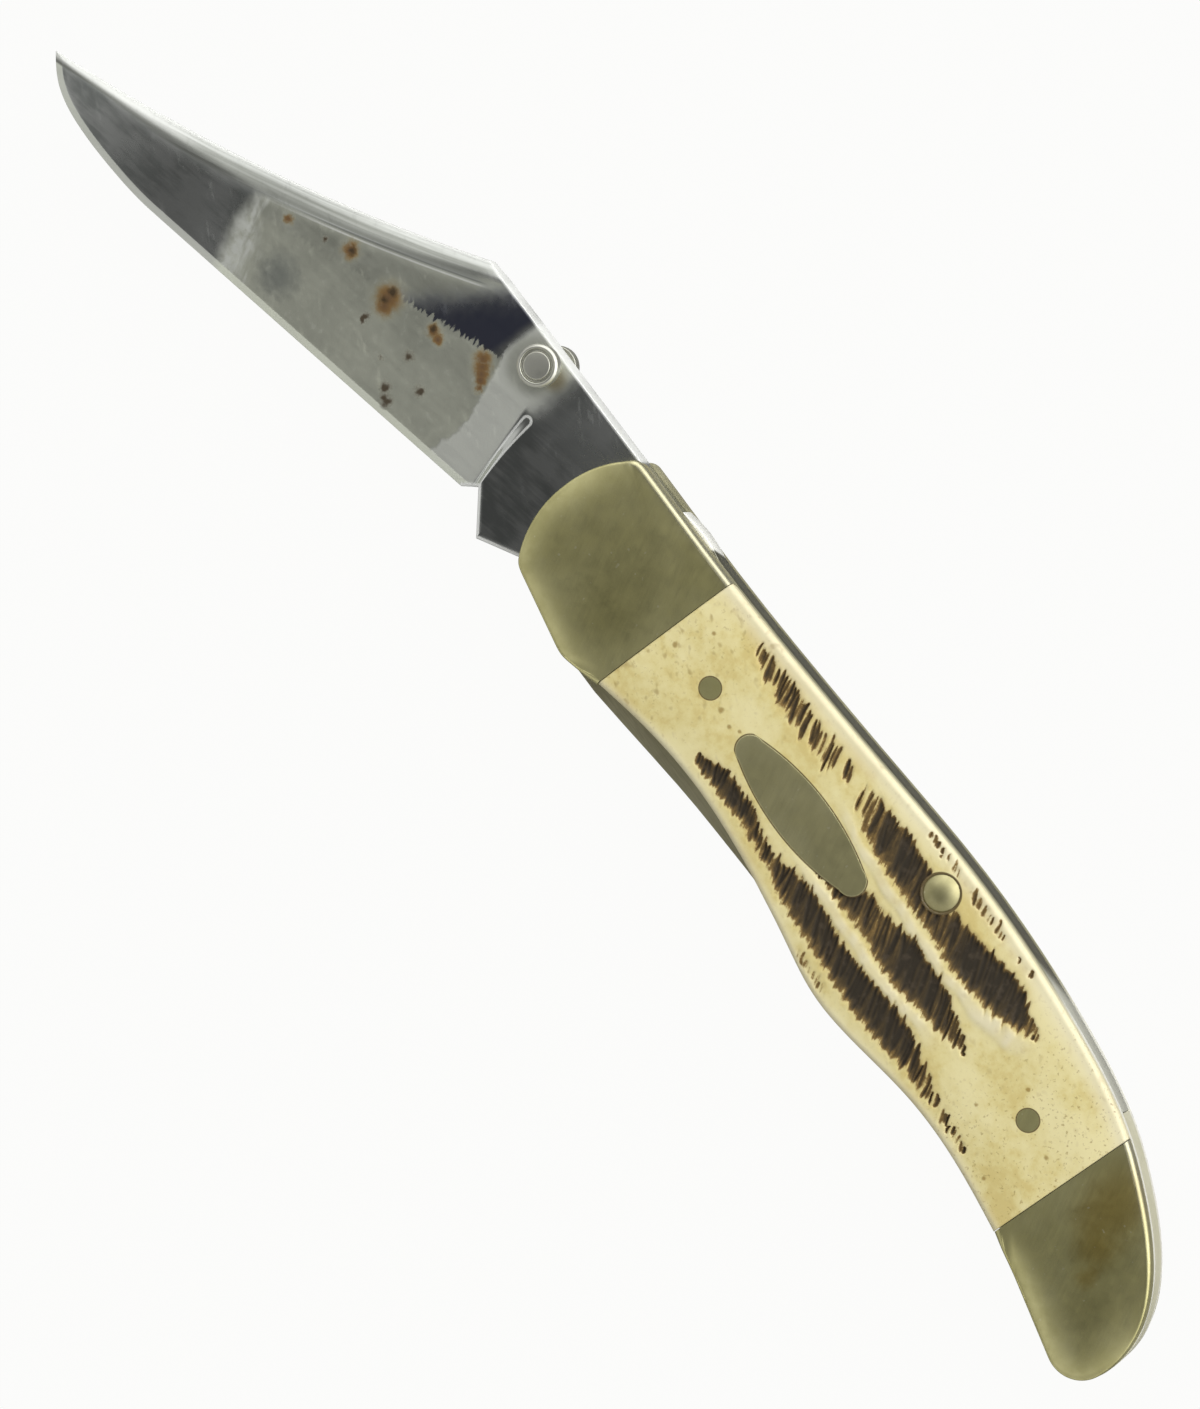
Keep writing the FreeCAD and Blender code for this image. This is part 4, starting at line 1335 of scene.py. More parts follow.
    def _rings(self, side: Side, seed: int) -> tuple[np.ndarray, dict[str, np.ndarray]]:
        """The scale as sections across the handle, one per column.

        A section goes up the belly wall, round the belly rim, over the crown, round the back rim and
        down the back wall. Each point is then pushed in along its own normal by the jigging's depth, and
        under the things let into the bone, and raised along the rubbed lips.

        Args:
            side: side of the knife.
            seed: seed of the strokes.

        Returns:
            The stack of rings, and the numbers kept on its points.
        """
        rim = self.cover.rim(side)
        front, rear = self.layers.front_joint + self.seam, self.layers.rear_joint - self.seam
        x = np.linspace(front, rear, self.columns)[:, None]
        back = self.outline.back_at(x)
        belly = read(self.outline.belly(), x) + read(self.belly_lift, x)
        angle = np.linspace(math.pi / 2, 0.0, self.rim_steps)[None, :]
        share = np.linspace(0.0, 1.0, self.rows + 2)[None, 1:-1]
        fall = rim * (1.0 - np.cos(angle))
        inside = np.full_like(x, rim)
        rim_low = self.cover.top(x, belly + rim, inside) - fall
        rim_high = self.cover.top(x, back - rim, inside) - fall
        flare = self.cover.flare(side) * self.cover.lift(rim_high)
        leaning = flare[:, -1:]
        y_top = belly + rim + (back + leaning - belly - 2 * rim) * share
        z_top = self.cover.top(np.broadcast_to(x, y_top.shape), y_top - leaning * share,
                               np.minimum(back + leaning - y_top, y_top - belly))
        foot = np.full_like(x, self.layers.liner)
        y = np.concatenate([belly, belly + rim * (1.0 - np.sin(angle)), y_top,
                            back - rim * (1.0 - np.sin(angle[:, ::-1])) + flare[:, ::-1], back], axis=1)
        z = np.concatenate([foot, rim_low, z_top, rim_high[:, ::-1], foot], axis=1)
        tilt = np.sin(angle[0])
        lean = np.concatenate([[-1.0], -tilt, np.zeros(self.rows), tilt[::-1], [1.0]])[None, :]
        x = np.broadcast_to(x, y.shape)
        rng = np.random.default_rng(seed)
        rows = (self.back_row, self.middle_row, self.belly_row, self.low_patch, self.edge_ticks)
        jig = np.max([self._jig(row, x, y, rng) for row in rows], axis=0)
        lip = np.max([self._lip(row, x, y) for row in rows[:2]], axis=0) * (1.0 - ease(jig, 0.03, 0.2))
        inlay = self._inlay(x, y, side)
        jig = jig * ease(inlay, 0.0, 0.12) * ease(z - self.layers.liner, *self.wall_clear)
        lip = lip * ease(inlay, 0.0, 0.5)
        sink = self.groove * jig - self.lip * lip + self.inlay_recess * ease(-inlay, 0.12, 0.3)
        rings = np.stack([x, y - lean * sink, z - np.sqrt(1.0 - lean ** 2) * sink], axis=-1)
        rings[..., 2] = self.layers.middle + side.value * rings[..., 2]
        bell = np.exp(-0.5 * (np.arange(-self.halo_reach, self.halo_reach + 1) / self.halo_sigma) ** 2)
        halo = jig
        for axis in (0, 1):
            halo = np.apply_along_axis(np.convolve, axis, halo, bell / bell.sum(), "same")
        # border: painted highlight along the back rim and painted light along the belly rim
        border = np.maximum(1.0 - ease(back + leaning - y, *self.back_rim_highlight),
                            self.belly_rim_light_share * (1.0 - ease(y - belly, *self.belly_rim_light)))
        return rings, {"jig": jig, "halo": np.clip(halo * self.halo_strength, 0.0, 1.0), "lip": lip,
                       "inlay": inlay, "border": border}

    def build(self) -> None:
        """Make and dress both scales."""
        finish = JiggedBone(joints=(self.layers.front_joint, self.layers.rear_joint)).make()
        for seed, side in enumerate(Side, start=7):
            node = f"{side.name.lower()}_scale"
            rings, values = self._rings(side, seed)
            piece = shell(f"{node}_bone", [rings], values, sharp=70.0)
            self.add(piece, finish, "bone", "handle", node)


@dataclass
class Shield(Group):
    """The bare oval plate let into the left scale: two wide arcs closed by two small ones."""

    centre: Place = (31.3, 3.2)
    tilt: float = 3.4
    half_length: float = 9.75
    half_width: float = 2.85
    end_length: float = 1.65
    end_half_width: float = 1.6
    thickness: float = 0.6
    edge: float = 0.12
    proud: float = 0.02
    dome: float = 0.03
    edge_steps: int = 6
    top_shares: tuple[float, ...] = (0.15, 0.3, 0.5, 0.7, 0.85, 1.0)

    def _local(self, x: np.ndarray, y: np.ndarray) -> tuple[np.ndarray, np.ndarray]:
        """Places along and across the plate, from its centre."""
        turn = math.radians(self.tilt)
        dx, dy = x - self.centre[0], y - self.centre[1]
        return dx * math.cos(turn) + dy * math.sin(turn), dy * math.cos(turn) - dx * math.sin(turn)

    def _shoulder(self) -> float:
        """Half the length between the places where wide and small arcs meet."""
        return self.half_length - self.end_length

    def signed_distance(self, x: np.ndarray, y: np.ndarray) -> np.ndarray:
        """Distance to the plate's edge, negative inside.

        Inside both wide circles, and either between the shoulders or inside the circle of an end.

        Args:
            x: the places' x.
            y: the places' y.

        Returns:
            The distances.
        """
        u, v = (np.abs(value) for value in self._local(x, y))
        shoulder = self._shoulder()
        wide, wide_radius = arc_circle((-shoulder, self.end_half_width), (0.0, self.half_width),
                                       (shoulder, self.end_half_width))
        small, small_radius = arc_circle((shoulder, self.end_half_width), (self.half_length, 0.0),
                                         (shoulder, -self.end_half_width))
        side = np.hypot(u, v - wide[1]) - wide_radius
        end = np.minimum(u - shoulder, np.hypot(u - small[0], v) - small_radius)
        return np.maximum(side, end)

    def build(self) -> None:
        """Make and dress the plate: its outline carried over a rounded edge to a faintly domed top."""
        shoulder, end = self._shoulder(), self.end_half_width
        loop = joined(arc((shoulder, -end), (self.half_length, 0.0), (shoulder, end)),
                      arc((shoulder, end), (0.0, self.half_width), (-shoulder, end)),
                      arc((-shoulder, end), (-self.half_length, 0.0), (-shoulder, -end)),
                      arc((-shoulder, -end), (0.0, -self.half_width), (shoulder, -end)))[:-1]
        spine = np.stack([np.clip(loop[:, 0], -shoulder, shoulder) * 0.96, np.zeros(len(loop))], axis=-1)
        width = np.linalg.norm(loop - spine, axis=1, keepdims=True)
        top = self.layers.cover + self.proud
        rings = [(loop, top - self.thickness)]
        for a in np.linspace(0.0, math.pi / 2, self.edge_steps):
            inset = self.edge * (1.0 - math.cos(a))
            rings.append((loop + (spine - loop) * inset / width, top - self.edge * (1.0 - math.sin(a))))
        for share in self.top_shares:
            rings.append((loop + (spine - loop) * share, top + self.dome * share * (2.0 - share)))
        turn = math.radians(self.tilt)
        spin = np.array([[math.cos(turn), math.sin(turn)], [-math.sin(turn), math.cos(turn)]])
        stack = np.stack([np.concatenate([flat @ spin + self.centre,
                                          np.full((len(flat), 1), self.layers.middle + height)], axis=1)
                          for flat, height in rings])
        piece = shell("shield_plate", [stack], caps=(True, False), sharp=50.0)
        finish = NickelSilver(name="shield_metal", bright=srgb(218, 212, 164), dull=srgb(196, 190, 142),
                              roughness=0.45).make()
        self.add(piece, finish, "nickel_silver", "handle", "shield")


@dataclass
class Fasteners(Group):
    """The pins and the domed rocker rivet that show in the scales."""

    cover: Cover
    front_pin: Place = (15.8, 2.95)
    rear_pin: Place = (68.4, 4.65)
    pin_radius: float = 1.15
    rivet: Place = (45.55, 10.35)
    rivet_shank: float = 1.2
    rivet_head: float = 2.04
    rivet_seat: float = 0.35
    rivet_height: float = 0.85
    root: float = 0.6
    flush: float = 0.02

    def holes(self, side: Side) -> list[Spot]:
        """What the fasteners take up of a scale's face, as (x, y, radius)."""
        rivet = self.rivet_head if side is Side.LEFT else self.rivet_shank
        return [(*self.front_pin, self.pin_radius), (*self.rear_pin, self.pin_radius), (*self.rivet, rivet)]

    def _pins(self, name: str, centre: Place, finish: bpy.types.Material) -> None:
        """A pair of pins, one in each scale, with ends peened into low domes."""
        top, low = self.layers.cover, self.layers.liner - self.root
        r = self.pin_radius
        profile = [(0.0, low), (r, low), (r, top - 0.03),
                   (r * 0.98, top), (r * 0.8, top + 0.01), (r * 0.5, top + 0.018), (0.0, top + 0.02)]
        stacks = [turned(centre, profile, self.layers.middle, side) for side in Side]
        piece = shell(f"{name}_heads", stacks, caps=(False, False))
        self.add(piece, finish, "nickel_silver", "handle", name)

    def _rivet(self, finish: bpy.types.Material) -> None:
        """The rocker rivet: filed flush with the right scale, and a spherical cap on the left one."""
        seat = self.layers.cover - self.rivet_seat
        ball = (self.rivet_head ** 2 + self.rivet_height ** 2) / (2 * self.rivet_height)
        half = math.asin(self.rivet_head / ball)
        crest = seat + self.rivet_height
        dome = [(ball * math.sin(a), crest - ball * (1.0 - math.cos(a))) for a in np.linspace(half, 0.0, 16)]
        s, low = self.rivet_shank, -self.layers.cover
        profile = [(0.0, low), (s * 0.92, low), (s, low + 0.08), (s, seat), (self.rivet_head * 0.97, seat),
                   *dome]
        rings = turned(self.rivet, profile, self.layers.middle, Side.LEFT, 96)
        x, y, z = np.moveaxis(rings, -1, 0)
        flush = self.layers.middle - self.cover.section(x, y, Side.RIGHT) - self.flush
        rings[..., 2] = np.where(z < self.layers.middle - self.layers.liner, flush, z)
        piece = shell("rocker_rivet_head", [rings], caps=(False, False))
        self.add(piece, finish, "nickel_silver", "handle", "rocker_rivet")

    def build(self) -> None:
        """Make and dress the pins and the rivet."""
        dark = NickelSilver(name="pin_metal", bright=srgb(212, 206, 150), dull=srgb(190, 184, 128),
                            roughness=0.46).make()
        self._pins("front_scale_pins", self.front_pin, dark)
        self._pins("rear_scale_pins", self.rear_pin, dark)
        polished = NickelSilver(name="rivet_metal", bright=srgb(196, 190, 146), dull=srgb(170, 164, 120),
                                roughness=0.5).make()
        self._rivet(polished)


@dataclass
class Blade(Group):
    """The clip blade with its tang, main grind, edge bevel, swedge and plunge, and the two thumb studs."""

    back_at_pivot: float = 9.37
    clip_corner: Place = (-33.3, 7.95)
    clip_via: Place = (-56.7, -6.75)
    tip: Place = (-80.05, -17.85)
    belly: tuple[Place, ...] = ((-66.5, -20.1), (-72.0, -20.4), (-77.5, -19.45))
    edge_turn: float = 143.0
    edge_front: Place = (-60.0, -19.05)
    heel: Place = (-16.95, -8.2)
    choil: Place = (-15.55, -6.45)
    kick: Place = (-11.5, -9.7)
    kick_rear: Place = (-6.0, -6.3)
    tang_radius: float = 5.5
    notch_floor: float = 4.2
    notch: Place = (-0.95, 1.35)
    closed_angle: float = 168.0
    grind_height: float = 10.3
    bevel_height: float = 0.8
    bevel_half: float = 0.28
    edge_half: float = 0.04
    plunge: tuple[Place, Place, Place] = ((-17.5, 2.5), (-16.7, -2.1), (-15.4, -6.6))
    plunge_width: float = 0.95
    groove: tuple[Place, Place, Place] = ((-17.85, 1.7), (-17.1, -2.2), (-15.8, -6.5))
    groove_halves: tuple[Place, Place] = ((-6.5, 0.24), (1.7, 0.5))
    swedge_slope: float = 0.56
    swedge_bend: float = 0.062
    swedge_reach: float = 4.0
    edge_run_on: float = 8.0
    clip_run_on: float = 12.0
    bevel_crease: float = 0.01
    grind_crease: float = 0.06
    swedge_crease: float = 0.02
    clip_halves: tuple[Place, ...] = (
        (-80.0, 0.04), (-76.0, 0.16), (-66.0, 0.34), (-50.0, 0.36), (-40.0, 0.5), (-33.3, 0.72))
    low_rows: tuple[float, ...] = (
        0.0, 0.02, 0.06, 0.12, 0.2, 0.3, 0.45, 0.65, 0.75, 0.8, 0.85, 1.0, 1.3, 1.7)
    high_rows: tuple[float, ...] = (
        3.4, 2.9, 2.6, 2.4, 2.2, 1.9, 1.5, 1.1, 0.7, 0.35, 0.12, 0.06, 0.02, 0.0)
    even_rows: int = 50
    edge_round: float = 0.05
    least_lean: float = 0.55
    rows_share: float = 0.85
    round_share: float = 0.7
    back_round: float = 0.16
    tang_round: float = 0.3
    stud_at: Place = (-21.25, 6.45)
    stud_waist: Place = (1.7, 1.0)
    stud_head: Place = (2.2, 1.4)
    stud_groove: Spot = (1.4, 1.75, 0.3)
    stud_root: float = 0.6
    stud_round: float = 0.09

    def _polar(self, degrees: float) -> Place:
        """A place on the tang's round end."""
        turn = math.radians(degrees)
        return (self.tang_radius * math.cos(turn), self.tang_radius * math.sin(turn))

    def _edge(self) -> np.ndarray:
        """The cutting edge from the heel to the tip: a straight run, then a curve up to the tip."""
        run = (self.edge_front[0] - self.heel[0], self.edge_front[1] - self.heel[1])
        turn = math.radians(self.edge_turn)
        belly = spline([self.edge_front, *self.belly, self.tip], run, (math.cos(turn), math.sin(turn)))
        return joined(line(self.heel, self.edge_front), belly)

    def _clip(self) -> np.ndarray:
        """The clip from its corner to the tip."""
        return arc(self.clip_corner, self.clip_via, self.tip)

    def _back_y(self, x: float) -> float:
        """Height of the straight back at x."""
        end = self.notch[0]
        fall = (self.clip_corner[1] - self.back_at_pivot) / (self.clip_corner[0] - end)
        return self.back_at_pivot + (x - end) * fall

    def _columns(self) -> tuple[np.ndarray, np.ndarray]:
        """Paired points on the lower and the upper outline, from the tang's round end to the tip.

        Chosen places of the two outlines are given in pairs, and both runs between two pairs are
        stepped evenly by length.

        Returns:
            Lower points and upper points, (columns, 2) each.
        """
        flat_middle = 90.0 - self.closed_angle
        flat_half = math.degrees(math.acos(self.notch_floor / self.tang_radius))
        front, rear = self.notch
        lobe_high = math.degrees(math.acos(rear / self.tang_radius))
        lobe_low = flat_middle + flat_half
        round_end = self._polar((lobe_low + lobe_high) / 2)
        flat_start, flat_end = self._polar(lobe_low), self._polar(flat_middle - flat_half)
        flat = line(flat_start, flat_end)
        low_arc = arc(round_end, self._polar(0.75 * lobe_low + 0.25 * lobe_high), flat_start)
        high_arc = arc(round_end, self._polar(0.25 * lobe_low + 0.75 * lobe_high), self._polar(lobe_high))
        edge, clip = self._edge(), self._clip()
        lower = joined(low_arc, flat, line(flat_end, self.kick_rear), line(self.kick_rear, self.kick),
                       line(self.kick, self.choil), line(self.choil, self.heel), edge)
        back_end = (front, self.back_at_pivot)
        upper = joined(high_arc, line(self._polar(lobe_high), (rear, self.notch_floor)),
                       line((rear, self.notch_floor), (front, self.notch_floor)),
                       line((front, self.notch_floor), back_end), line(back_end, self.clip_corner), clip)
        on_flat = [tuple(flat[int(len(flat) * share)]) for share in (0.42, 0.75, 0.77)]
        on_edge = [tuple(edge[np.argmin(np.abs(edge[:, 0] - x))]) for x in (-22.0, -32.0)]
        on_clip = tuple(clip[np.argmin(np.abs(clip[:, 0] + 61.0))])
        on_back = [(x, self._back_y(x)) for x in (-3.0, -7.5, -14.2, -19.7, -21.1, -26.0)]
        pairs = [(round_end, round_end, 0), (flat_start, self._polar(lobe_high), 12),
                 (on_flat[0], (rear, self.notch_floor), 4), (on_flat[1], (front, self.notch_floor), 6),
                 (on_flat[2], back_end, 4), (flat_end, on_back[0], 6), (self.kick_rear, on_back[1], 14),
                 (self.kick, on_back[2], 26), (self.choil, on_back[3], 44), (self.heel, on_back[4], 22),
                 (on_edge[0], on_back[5], 34), (on_edge[1], self.clip_corner, 30),
                 (self.edge_front, on_clip, 90), (self.tip, self.tip, 90)]
        stations = []
        for path, which in ((lower, 0), (upper, 1)):
            run = lengths(path)
            spots = [run[np.argmin(np.hypot(*(path - np.array(pair[which])).T))] for pair in pairs]
            spots[-1] = run[-1]
            steps = [np.linspace(a, b, pair[2], endpoint=False)
                     for a, b, pair in zip(spots[:-1], spots[1:], pairs[1:])]
            stations.append(along(path, np.concatenate([*steps, [run[-1]]])))
        return stations[0], stations[1]

    def _half(self, x: np.ndarray, y: np.ndarray) -> tuple[np.ndarray, np.ndarray, np.ndarray]:
        """Half the blade's thickness at each place.

        The main grind rises from the edge through the bevel's top to full thickness at the grind line,
        it fades in over the plunge, and the swedge rises from the clip at a steady slope. The lesser of
        the heights counts, with the creases rounded a little.

        Args:
            x: the places' x.
            y: the places' y.

        Returns:
            Half thickness, and the distances from the edge and from the clip.
        """
        full = self.layers.blade
        from_edge = distance_to(x, y, carried(self._edge(), self.edge_run_on))
        from_clip = distance_to(x, y, carried(self._clip(), self.clip_run_on))
        bevel = self.edge_half + (self.bevel_half - self.edge_half) * from_edge / self.bevel_height
        rise = (full - self.bevel_half) / (self.grind_height - self.bevel_height)
        main = self.bevel_half + (from_edge - self.bevel_height) * rise
        main = soft_least(bevel, main, self.bevel_crease)
        ground = soft_least(main, np.full_like(x, full), self.grind_crease)
        centre, radius = arc_circle(*self.plunge)
        past = np.hypot(x - centre[0], y - centre[1]) - radius
        ground = full - (full - ground) * ease(past, 0.0, self.plunge_width)
        bent = np.minimum(from_clip, self.swedge_reach) ** 2
        rise = self.swedge_slope * from_clip - self.swedge_bend * bent
        swedge = read(self.clip_halves, x) + rise
        return soft_least(ground, swedge, self.swedge_crease), from_edge, from_clip

    def _build_blade(self) -> None:
        """Make the blade: columns of points between the two outlines, doubled over both sides.

        Rows keep close to the edge, the bevel's top and the swedge's foot: the first rows stand at given
        distances from the lower outline, the last ones from the upper, and the rest are spaced evenly.
        """
        low, high = self._columns()
        span = high - low
        length = np.linalg.norm(span, axis=1, keepdims=True)
        direction = span / np.maximum(length, 1e-9)
        across = [np.sum(left_of(path) * direction, axis=1, keepdims=True) for path in (low, high)]
        lean = [np.clip(np.abs(share), self.least_lean, 1.0) for share in across]
        reach_low = np.array(self.low_rows)[None, :] / lean[0]
        reach_high = np.array(self.high_rows)[None, :] / lean[1]
        fit = np.minimum(1.0, self.rows_share * length / (reach_low[:, -1:] + reach_high[:, :1]))
        reach_low, reach_high = reach_low * fit, length - reach_high * fit
        share = np.linspace(0.0, 1.0, self.even_rows + 2)[None, 1:-1]
        between = reach_low[:, -1:] + (reach_high[:, :1] - reach_low[:, -1:]) * share
        run = np.concatenate([reach_low, between, reach_high], axis=1)
        x, y = (low[:, k:k + 1] + direction[:, k:k + 1] * run for k in (0, 1))
        half, from_edge, from_clip = self._half(x, y)
        low_round = np.where(low[:, :1] > self.heel[0] - 0.2, self.tang_round, self.edge_round)
        for border, radius in ((run * lean[0], low_round), ((length - run) * lean[1], self.back_round)):
            bend = 1.0 - np.clip(border / radius, 0.0, 1.0)
            half = half - np.minimum(radius, self.round_share * half) * (1.0 - np.sqrt(1.0 - bend ** 2))
        half[-1] = 0.0
        middle = self.layers.middle
        left = np.stack([x, y, middle + half], axis=-1)
        right = np.stack([x, y, middle - half], axis=-1)[:, ::-1]
        # painted highlight lines: the spine outside the handle and the tang's lower edges
        spine = (1.0 - ease((length - run) * lean[1], 0.06, 0.2)) * ease(-x, 7.0, 7.6)
        bright = np.maximum(spine, (1.0 - ease(run * lean[0], 0.3, 0.5)) * (low_round > self.edge_round))
        # groove: where the plunge's painted highlight lines and their lighter middle go
        groove = distance_to(x, y, arc(*self.groove)) / read(self.groove_halves, y)
        values = {name: np.concatenate([number, number[:, ::-1]], axis=1)
                  for name, number in (("edge", from_edge), ("clip", from_clip), ("groove", groove),
                                       ("border", bright))}
        rings = np.concatenate([left, right], axis=1)
        piece = shell("clip_blade", [rings], values, caps=(False, False), sharp=30.0)
        self.add(piece, BladeSteel().make(middle), "blade_steel", "blade", "blade")

    def _build_studs(self) -> None:
        """Make the thumb studs: a waist and a head with a ring groove round a raised button."""
        base = self.layers.blade
        root = base - self.stud_root
        waist, head = self.stud_waist, self.stud_head
        seat, top = base + waist[1], base + waist[1] + head[1]
        inner, outer, deep = self.stud_groove
        corners = [(0.0, root), (waist[0], root), (waist[0], seat), (head[0] - 0.05, seat),
                   (head[0], seat + 0.3), (head[0], top - 0.25), (head[0] - 0.25, top), (outer, top),
                   (outer - 0.06, top - deep), (inner + 0.04, top - deep), (inner, top), (0.5, top + 0.05),
                   (0.0, top + 0.06)]
        profile = rounded_profile(corners, self.stud_round)
        finish = PlainSteel("stud_steel", srgb(218, 218, 206), srgb(202, 202, 190), 0.42,
                            grain=(0.5, 0.5, 0.5)).make()
        for side in Side:
            node = f"{side.name.lower()}_thumb_stud"
            piece = shell(f"{node}_head", [turned(self.stud_at, profile, self.layers.middle, side, 96)],
                          caps=(False, False), sharp=50.0)
            self.add(piece, finish, "stud_steel", "blade", node)

    def build(self) -> None:
        """Make and dress the blade and its studs."""
        self._build_blade()
        self._build_studs()


@dataclass
class LockWork(Group):
    """The lock bar along the back, and the frame's own spring, spacer, liners and hidden pins."""

    outline: HandleOutline
    tooth: Spot = (-0.75, 1.05, 5.65)
    under: tuple[Place, ...] = ((15.5, 8.25), (21.0, 6.4), (50.55, 6.4), (54.05, 9.9), (72.92, 9.9))
    corner: float = 0.16
    hump: float = 0.36
    hump_end: float = 5.4
    tooth_steps: int = 12
    step: float = 0.35
    corner_steps: int = 5

    def _build_bar(self) -> None:
        """Make the lock bar: a rectangle with rounded corners, from its underside to the handle's back.

        The section at x spans from the underside's height to the back's height, and the blade's
        thickness across; the tooth is a drop of the underside at the front end, under half a sine wave
        that lifts the back a little.
        """
        front, tooth_end, tooth_low = self.tooth
        tail = self.under[-1][0]
        x = np.concatenate([np.linspace(front, tooth_end, self.tooth_steps),
                            np.arange(tooth_end + 0.02, tail, self.step), [tail]])
        floor = np.where(x <= tooth_end, tooth_low, read(self.under, x))
        wave = np.sin(math.pi * np.clip((x - front) / (self.hump_end - front), 0.0, 1.0))
        roof = self.outline.back_at(x) + self.hump * wave
        quarter = np.linspace(0.0, 90.0, self.corner_steps)
        turn = np.radians(np.concatenate([first + quarter for first in (0.0, 90.0, 180.0, 270.0)]))
        right, up = np.cos(turn), np.sin(turn)
        half = self.layers.blade
        z = np.sign(right + 1e-9) * (half - self.corner) + self.corner * right
        middle, reach = (roof + floor)[:, None] / 2, (roof - floor)[:, None] / 2
        y = middle + np.sign(up + 1e-9)[None, :] * (reach - self.corner) + self.corner * up[None, :]
        rings = np.stack([np.broadcast_to(x[:, None], y.shape), y,
                          np.broadcast_to(self.layers.middle + z[None, :], y.shape)], axis=-1)
        piece = shell("lock_bar_steel", [rings])
        self.add(piece, BarSteel().make(), "spring_steel", "lock", "lock_bar")

    def _dress_frame(self) -> None:
        """Give the frame's own nodes their finishes."""
        spring = PlainSteel("spring_steel", srgb(172, 172, 164), srgb(140, 140, 130), 0.34).make()
        spacer = PlainSteel("spacer_steel", srgb(210, 207, 182), srgb(198, 195, 168), 0.35,
                            metallic=0.05).make()
        liner = PlainSteel("liner_metal", srgb(204, 199, 166), srgb(176, 171, 140), 0.42, metallic=0.7,
                           tail=(56.0, 64.0)).make()
        pins = NickelSilver(name="hidden_pins", roughness=0.3).make()
        finishes = {"lock_spring": spring, "butt_spacer": spacer, "left_liner": liner, "right_liner": liner,
                    "pivot_pin": pins, "spring_pin": pins, "butt_pin": pins, "front_bolster_rivets": pins,
                    "shield_rivets": pins}
        for node, finish in finishes.items():
            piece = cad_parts[node]
            piece.data.materials.clear()
            piece.data.materials.append(finish)
            self.pieces.append(piece)

    def build(self) -> None:
        """Make the bar and dress the rest."""
        self._build_bar()
        self._dress_frame()


@dataclass(frozen=True)
class Lamp:
    """A soft rectangular lamp that faces the knife: where it stands, its size and its power in watts."""

    name: str
    place: Spot
    size: Place
    power: float

    def make(self) -> None:
        """Stand the lamp and turn its face to the pivot."""
        data = bpy.data.lights.new(self.name, "AREA")
        data.shape = "RECTANGLE"
        data.size, data.size_y = (side * MM for side in self.size)
        data.energy = self.power
        made = bpy.data.objects.new(self.name, data)
        made.location = Vector(self.place) * MM
        made.rotation_euler = (-made.location).to_track_quat("-Z", "Y").to_euler()
        bpy.context.scene.collection.objects.link(made)


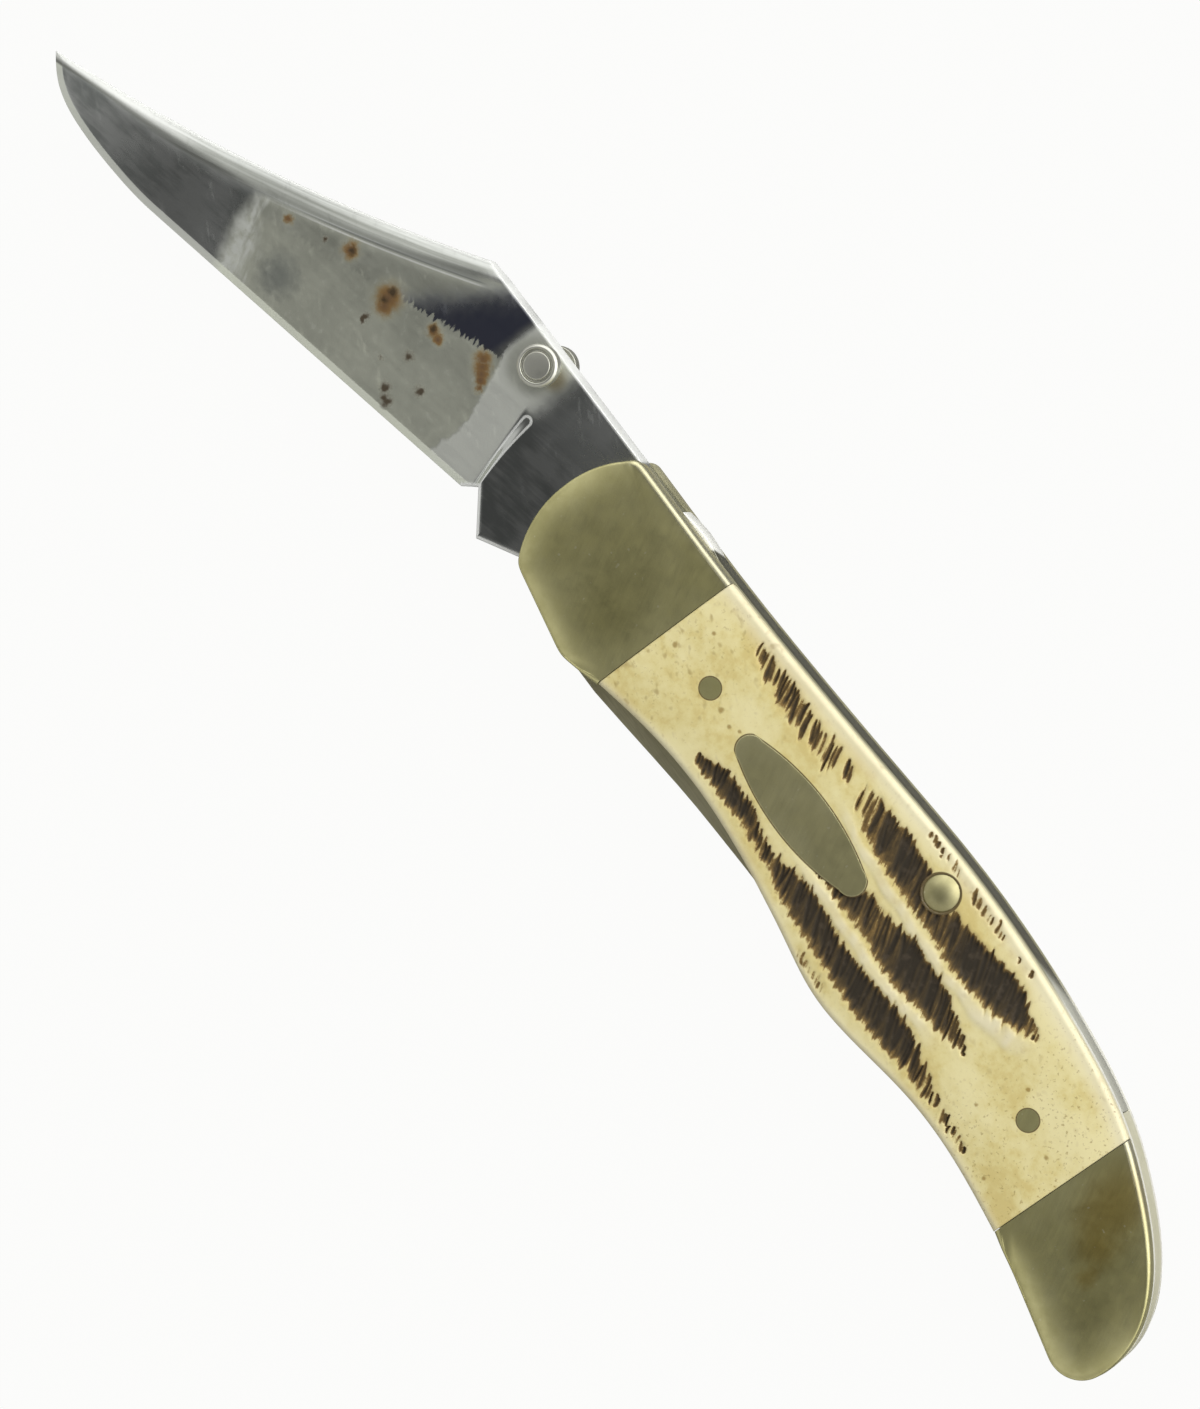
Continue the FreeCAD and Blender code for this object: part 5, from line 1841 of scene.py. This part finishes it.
@dataclass
class Studio:
    """A pale floor, soft light with a dim ceiling, and the camera above the knife."""

    eye: Spot = (76.187, 118.106, 448.151)
    target: Spot = (9.607, -9.109, 6.075)
    roll: float = -53.31
    lens: float = 117.53
    sensor: float = 36.0
    clip: Place = (0.02, 20.0)
    floor_half: float = 900.0
    floor_drop: float = 0.05
    floor_glow: float = 0.96
    floor_shade: Colour = srgb(150, 150, 148)
    ceiling: float = 0.11
    ring: float = 2.1
    ring_least: float = 0.3
    ring_heights: Place = (0.88, 0.5)
    ring_facing: Place = (-0.6, 0.5)
    ring_narrowing: float = 0.3
    white: Colour = (1.0, 1.0, 0.99, 1.0)
    lamps: tuple[Lamp, ...] = (Lamp("tip_lamp", (-390.0, 215.0, 470.0), (460.0, 300.0), 0.42),
                               Lamp("back_lamp", (200.0, 490.0, 390.0), (620.0, 480.0), 1.15))

    def camera(self) -> None:
        """Stand the camera at the eye, looking at the target, turned about its own axis by the roll."""
        eye, target = (Vector(place) * MM for place in (self.eye, self.target))
        ahead = (target - eye).normalized()
        level = Vector((0.0, 1.0, 0.0))
        level = (level - ahead * level.dot(ahead)).normalized()
        beside = ahead.cross(level)
        turn = math.radians(self.roll)
        up = level * math.cos(turn) + beside * math.sin(turn)
        data = bpy.data.cameras.new("camera")
        data.lens, data.sensor_width = self.lens, self.sensor
        data.clip_start, data.clip_end = self.clip
        made = bpy.data.objects.new("camera", data)
        turned_to = Matrix((ahead.cross(up), up, -ahead)).transposed().to_4x4()
        made.matrix_world = Matrix.Translation(eye) @ turned_to
        bpy.context.scene.collection.objects.link(made)
        bpy.context.scene.camera = made

    def floor(self) -> None:
        """A pale floor that shows near white and keeps a faint shadow."""
        half, z = self.floor_half * MM, -self.floor_drop * MM
        mesh = bpy.data.meshes.new("floor")
        corners = [(-half, -half, z), (half, -half, z), (half, half, z), (-half, half, z)]
        mesh.from_pydata(corners, [], [(0, 1, 2, 3)])
        made = bpy.data.objects.new("floor", mesh)
        bpy.context.scene.collection.objects.link(made)
        paper, g = material("floor_paper")
        seen = g.node("LightPath", None, None, "Is Camera Ray")
        plain = g.node("BsdfDiffuse", None, {"Color": self.floor_shade}, "BSDF")
        glow = g.node("Emission", None, {"Color": self.white, "Strength": 1.0}, "Emission")
        shader = g.node("MixShader", None, {0: seen * self.floor_glow, 1: plain, 2: glow})
        g.node("OutputMaterial", None, {"Surface": shader})
        mesh.materials.append(paper)

    def light(self) -> None:
        """Light from all round at low and middle heights, dim from above, with two soft lamps.

        The world's strength falls from the ring's at low height to the ceiling's overhead, by a smooth
        step on the height of the direction, and is far stronger towards the back of the knife.
        """
        scene = bpy.context.scene
        scene.world = scene.world or bpy.data.worlds.new("studio")
        scene.world.use_nodes = True
        g = Graph(scene.world.node_tree)
        x, y, z = g.axes(g.node("TexCoord", None, None, "Generated"))
        low = g.step(z, *self.ring_heights)
        facing = g.step(y - abs(x) * self.ring_narrowing, *self.ring_facing)
        lean = self.ring_least + (1.0 - self.ring_least) * facing
        strength = self.ceiling + low * (self.ring - self.ceiling) * lean
        dim = g.node("Background", None, {"Color": (1.0, 1.0, 1.0, 1.0), "Strength": strength}, "Background")
        white = g.node("Background", None, {"Color": self.white, "Strength": 1.0}, "Background")
        seen = g.node("LightPath", None, None, "Is Camera Ray")
        shader = g.node("MixShader", None, {0: seen, 1: dim, 2: white})
        g.node("OutputWorld", None, {"Surface": shader})
        for lamp in self.lamps:
            lamp.make()

    def build(self) -> None:
        """Set the view, and make the camera, the floor and the light."""
        bpy.context.scene.view_settings.view_transform = "Standard"
        self.camera()
        self.floor()
        self.light()


def write_sizes() -> None:
    """Bring the view layer up to date."""
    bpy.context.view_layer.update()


def main() -> None:
    """Build the knife's sub-assemblies in order, then the studio."""
    logging.basicConfig(level=logging.INFO, format="%(message)s")
    layers = Layers.from_frame()
    outline = HandleOutline(layers)
    cover = Cover(layers, outline)
    shield, fasteners = Shield(layers), Fasteners(layers, cover)
    groups = (Blade(layers), LockWork(layers, outline), Bolsters(layers, outline, cover),
              Scales(layers, outline, cover, shield, fasteners), shield, fasteners)
    for group in groups:
        group.build()
        for piece in group.pieces:
            LOG.info("%s: %s, %d faces", type(group).__name__, piece.name, len(piece.data.polygons))
    Studio().build()
    write_sizes()


if __name__ == "__main__":
    main()
